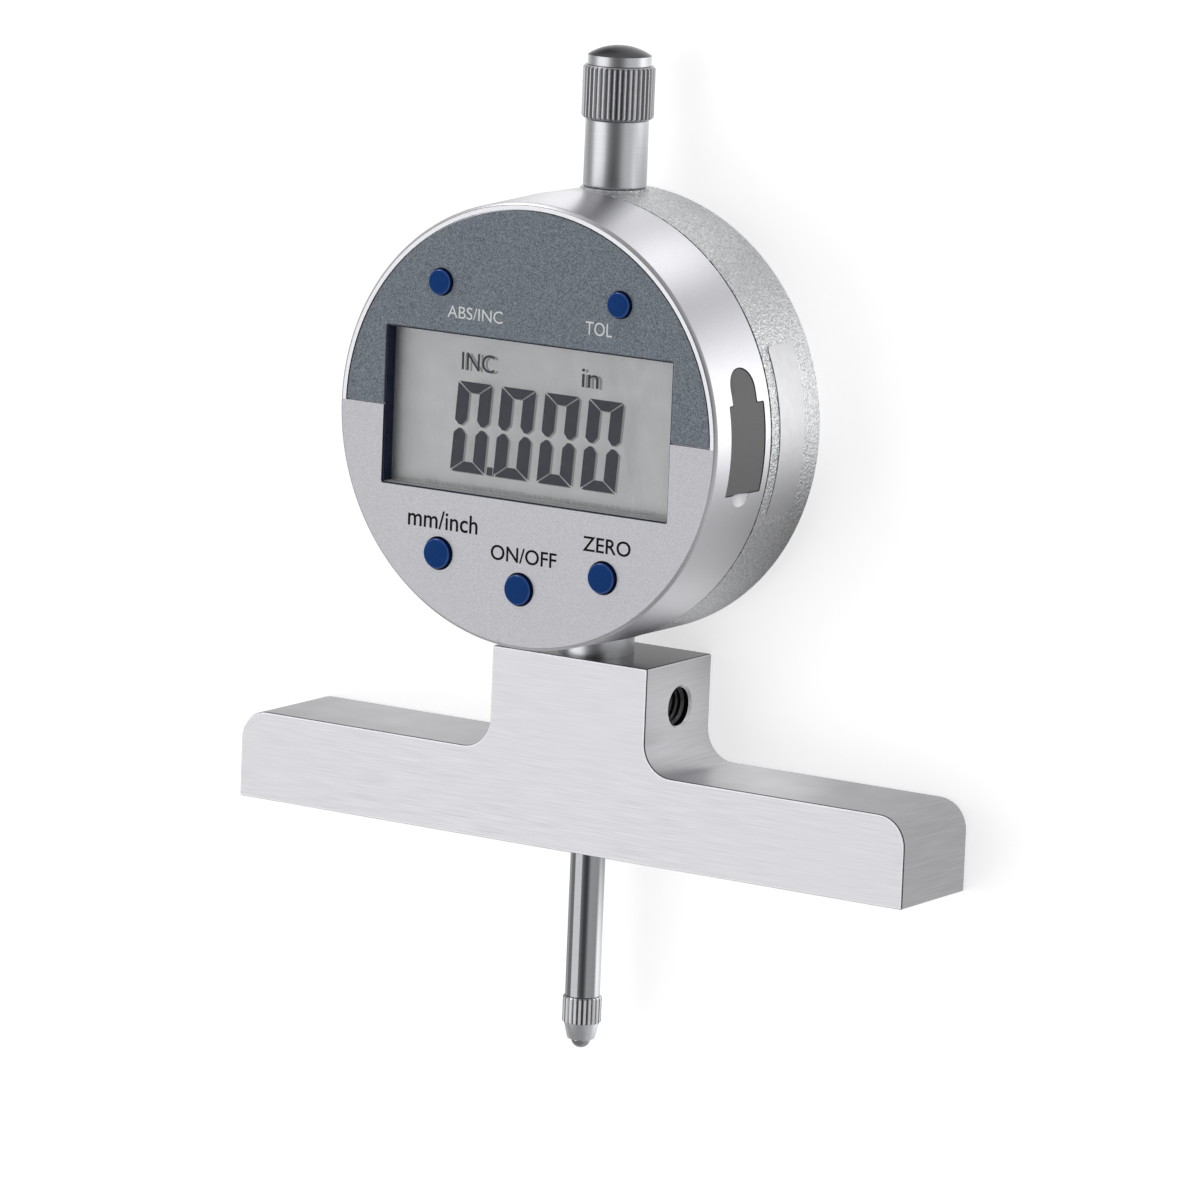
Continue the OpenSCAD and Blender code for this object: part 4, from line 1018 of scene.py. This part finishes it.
def makeWindow():
    lensLow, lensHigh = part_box("window_lens")
    inward = housing["window"][0] / 2 - (lensHigh.x - lensLow.x) / 2 / mm
    lens = windowBlock("clearWindow", -inward, lensLow.z, lensHigh.z)
    finishPiece(lens, windowClear, "frame", ["window_lens"], smooth=0)
    liner = copyOfNode("lcd_frame", "windowLiner", windowLiner["edge"] * mm)
    finishPiece(liner, linerPlastic, "frame", ["lcd_frame"], smooth=30)
    addFinishes(liner, sillPaintedReflection)
    # the navy liner's up-facing sill is coloured display grey as a painted reflection of the
    # display
    for face in liner.data.polygons:
        if face.normal.y > 0.9:
            face.material_index = 1


# Battery hatch and its tray

def makeHatch():
    tray = copyOfNode("battery_tray", "batteryHatch", hatch["edge"] * mm, 35)
    finishPiece(tray, hatchPlastic, "battery_drawer", ["battery_tray"], smooth=30)


# Rear case and label

rearCase = {"edge": 0.12}
# angles round the case in degrees, the rest in mm
sideLabel = {"low": -20.0, "high": 24.3, "zLow": -0.1, "zHigh": 5.5, "corner": 0.7,
             "lift": 0.01, "thick": 0.1}


def makeRearCase():
    piece = copyOfNode("rear_case", "rearCase", rearCase["edge"] * mm, 35)
    finishPiece(piece, rearCast, "frame", ["rear_case"], smooth=32)


def makeLabel():
    s = sideLabel
    rearR = (rearHigh.x - rearLow.x) / 2
    under, over = rearR + s["lift"] * mm, rearR + s["thick"] * mm
    low, high = s["zLow"], s["zHigh"]
    shell = onCase("sideLabel", [(under, low * mm), (over, low * mm), (over, high * mm),
                                 (under, high * mm)], 240, loop=True)
    y0 = rearR / mm * math.sin(math.radians(s["low"]))
    y1 = rearR / mm * math.sin(math.radians(s["high"]))
    corners = [(y0, low, s["corner"]), (y1, low, s["corner"]),
               (y1, high, s["corner"]), (y0, high, s["corner"])]
    line = [Vector((rearR * 0.7, caseY + p.x * mm, p.y * mm)) for p in rounded(corners, 5)]
    combine(shell, prism("labelShape", line, (rearR * 0.5, 0, 0)), "INTERSECT")
    finishPiece(shell, labelFilm, "frame", ["side_label"], smooth=30)


# Turned pieces along the spindle

def ridgedPrism(name, sizes, low, high):
    # flat-topped ridges with sloping flanks round the axis; shares of the pitch end the crest,
    # start the valley's floor and end it
    valley = sizes["valley"] * mm
    line = []
    for i in range(sizes["ridges"]):
        for share, drop in zip((0.0,) + sizes["shares"], (0.0, 0.0, valley, valley)):
            turn = 2 * math.pi * (i + share) / sizes["ridges"]
            reach = sizes["radius"] * mm - drop
            line.append(Vector((reach * math.cos(turn), low * mm, axisZ + reach * math.sin(turn))))
    return prism(name, line, (0, high * mm - low * mm, 0))


def chamferRidges(piece, sizes, low, high, steps):
    radius, chamfer = sizes["radius"], sizes["chamfer"]
    limit = onSpindle("ridgeLimit", [(x * mm, y * mm) for x, y in [
        (0, low), (radius - chamfer, low), (radius, low + chamfer),
        (radius, high - chamfer), (radius - chamfer, high), (0, high)]], steps)
    combine(piece, limit, "INTERSECT")


def toneRidges(piece, sizes):
    # painted highlight on the crests, and painted shade in the valleys between them
    addFinishes(piece, groovePaintedShadeSteel, crestPaintedHighlightSteel)
    radius, valley = sizes["radius"] * mm, sizes["valley"] * mm
    for face in piece.data.polygons:
        depth = (radius - Vector((face.center.x, face.center.z - axisZ)).length) / valley
        if abs(face.normal.y) < 0.3 and depth < 0.3:
            face.material_index = 2
        elif abs(face.normal.y) < 0.3 and 0.75 < depth < 1.3:
            face.material_index = 1


tubeShape = {
    "radius": 3.95, "neck": 3.25, "bore": 2.6, "foot": 4.0, "length": 8.5, "neckLength": 4.6,
    "edge": 0.35, "topEdge": 0.2, "neckEdge": 0.3,
}


def makeTube():
    t = tubeShape
    foot = tubeLow.y / mm
    seat = foot + t["foot"]
    top = seat + t["length"]
    end = top + t["neckLength"]
    outline = rounded([(t["bore"], foot, 0), (t["neck"], foot, 0), (t["neck"], seat, 0),
                       (t["radius"], seat, t["edge"]), (t["radius"], top, t["topEdge"]),
                       (t["neck"], top, 0), (t["neck"], end, t["neckEdge"]),
                       (t["bore"], end, 0)], 4)
    piece = onSpindle("upperTube", [(p.x * mm, p.y * mm) for p in outline], 96, loop=True)
    finishPiece(piece, tubeSteel, "frame", ["upper_tube"], smooth=35)


capRidges = {"radius": 4.5, "ridges": 40, "shares": (0.26, 0.50, 0.76), "valley": 0.22,
             "chamfer": 0.30}
dustCap = {"grip": 6.6, "plainR": 3.975, "plain": 1.25, "dome": 1.2, "ease": 0.12,
           "boreR": 3.3, "bore": 6.5}


def makeCap():
    c = dustCap
    low = capLow.y / mm
    gripTop, plainTop = low + c["grip"], low + c["grip"] + c["plain"]
    grip = ridgedPrism("capGrip", capRidges, low, gripTop)
    chamferRidges(grip, capRidges, low, gripTop, 120)
    cutWith(grip, rod("capBore", (0, low * mm - mm, axisZ), (0, 1, 0), c["boreR"] * mm,
                      (c["bore"] + 1) * mm, 64))
    finishPiece(grip, knurledSteel, "cap", ["dust_cap"], smooth=28)
    toneRidges(grip, capRidges)

    domeR = (c["plainR"] ** 2 + c["dome"] ** 2) / (2 * c["dome"])
    reach = math.asin(c["plainR"] / domeR)
    domeY = plainTop + c["dome"] - domeR
    side = [(0, gripTop - 0.05), (c["plainR"] - c["ease"], gripTop - 0.05),
            (c["plainR"], gripTop + 0.1), (c["plainR"], plainTop - 0.05)]
    dome = [(domeR * math.sin(reach * (1 - k / 10)), domeY + domeR * math.cos(reach * (1 - k / 10)))
            for k in range(11)]
    crown = onSpindle("capCrown", [(x * mm, y * mm) for x, y in side + dome], 96)
    finishPiece(crown, tubeSteel, "cap", smooth=24)
    addFinishes(crown, capTopPaintedShadeSteel)
    # the dome's upward faces take steel darkened as painted shade
    for face in crown.data.polygons:
        if face.normal.y > 0.5:
            face.material_index = 1


ringRidges = {"radius": 2.475, "ridges": 24, "shares": (0.50, 0.62, 0.88), "valley": 0.17,
              "chamfer": 0.16}
contactTip = {"noseR": 1.75, "cone": 2.1, "ring": 3.4, "ball": 1.25,
              "studHoleR": 1.21, "studHole": 5.5}


def makeSpindle():
    holeR, hole = contactTip["studHoleR"], contactTip["studHole"]
    radius = (spindleHigh.x - spindleLow.x) / 2 / mm
    low, high = spindleLow.y / mm, spindleHigh.y / mm
    outline = rounded([(0, low + hole, 0), (holeR, low + hole, 0), (holeR, low, 0),
                       (radius, low, 0.12), (radius, high, 0.4), (0, high, 0)], 3)
    piece = onSpindle("spindleRod", [(p.x * mm, p.y * mm) for p in outline], 96)
    finishPiece(piece, polishedSteel, "spindle_group", ["spindle"], smooth=35)


def makeContact():
    c = contactTip
    ringR, ball = ringRidges["radius"], c["ball"]
    nose = spindleLow.y / mm - c["ring"] - c["cone"]
    ringLow, ringTop = nose + c["cone"], nose + c["cone"] + c["ring"]
    ring = ridgedPrism("contactRing", ringRidges, ringLow, ringTop)
    chamferRidges(ring, ringRidges, ringLow, ringTop, 96)
    finishPiece(ring, tubeSteel, "spindle_group", ["contact_point"], smooth=28)
    toneRidges(ring, ringRidges)
    # the cone is hollowed for the ball
    cup = [(ball * math.cos(a) + 0.01, nose + ball * math.sin(a))
           for a in (math.radians(90 * k / 6) for k in range(7))]
    outline = [(0, nose + ball + 0.02)] + [(max(x, 0.001), y) for x, y in cup[::-1][1:]]
    outline += [(c["noseR"] - 0.06, nose), (c["noseR"], nose + 0.08),
                (ringR - 0.25, ringLow + 0.02), (0, ringLow + 0.02)]
    cone = onSpindle("contactCone", [(x * mm, y * mm) for x, y in outline], 72)
    finishPiece(cone, tubeSteel, "spindle_group", smooth=30)


spring = {"wire": 0.4, "coil": 5.9, "turns": 11, "keep": 0.24}    # keep: share left when pressed


def makeSpring():
    # one round of wire section carried up and round by the screw modifier
    s = spring
    low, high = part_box("return_spring")
    lowY, highY = low.y + s["wire"] / 2 * mm, high.y - s["wire"] / 2 * mm
    deselectAll()
    bpy.ops.mesh.primitive_circle_add(vertices=10, radius=s["wire"] / 2 * mm)
    piece = bpy.context.object
    piece.name = "returnSpring"
    piece.data.name = "returnSpring"
    bpy.ops.object.mode_set(mode="EDIT")
    bpy.ops.mesh.select_all(action="SELECT")
    bpy.ops.transform.translate(value=(s["coil"] / 2 * mm, 0, 0))
    bpy.ops.object.mode_set(mode="OBJECT")
    applyModifier(piece, "SCREW", axis="Y", angle=2 * math.pi, iterations=s["turns"],
                  screw_offset=(highY - lowY) / s["turns"], steps=24, render_steps=24)
    closeEnds()
    piece.location = (0, lowY, axisZ)
    finishPiece(piece, springSteel, "frame", ["return_spring"], smooth=60)
    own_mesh(piece)


makeBase()
makeClampThread()
print("base ready")
makeHousing()
makeInlay()
makeButtons()
print("housing ready")
makeReadout()
makeFaceWords()
makeWindow()
print("display ready")
makeHatch()
makeRearCase()
makeLabel()
print("case ready")
makeTube()
makeCap()
makeSpindle()
makeContact()
makeSpring()
print("turned pieces ready")


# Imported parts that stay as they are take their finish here

nodeFinishes = {
    "clamp_screw": darkScrew, "stem": tubeSteel, "lower_bush": bronze, "upper_bush": bronze,
    "stop_washer": rubber, "back_plate": plateSilver, "back_plate_screws": darkScrew,
    "case_screws": darkScrew, "case_gasket": rubber, "lcd_panel": panelGlass,
    "upper_contact_strip": rubber, "lower_contact_strip": rubber, "main_board": boardGreen,
    "board_screws": darkScrew, "stator_board": boardGreen, "controller_chip": chipPlastic,
    "button_switches": switchPlastic, "battery_contact_upper": goldPlate,
    "battery_contact_lower": goldPlate, "guide_rod": tubeSteel, "contact_ball": polishedSteel,
    "scale_carrier": bronze, "carrier_screw": darkScrew, "moving_scale": boardGreen,
    "battery_cell": polishedSteel,
}
for node, material in nodeFinishes.items():
    mesh = cadNodes[node].data
    if not mesh.materials:
        mesh.materials.append(material)
    for i in range(len(mesh.materials)):
        mesh.materials[i] = material
print("packed parts finished")
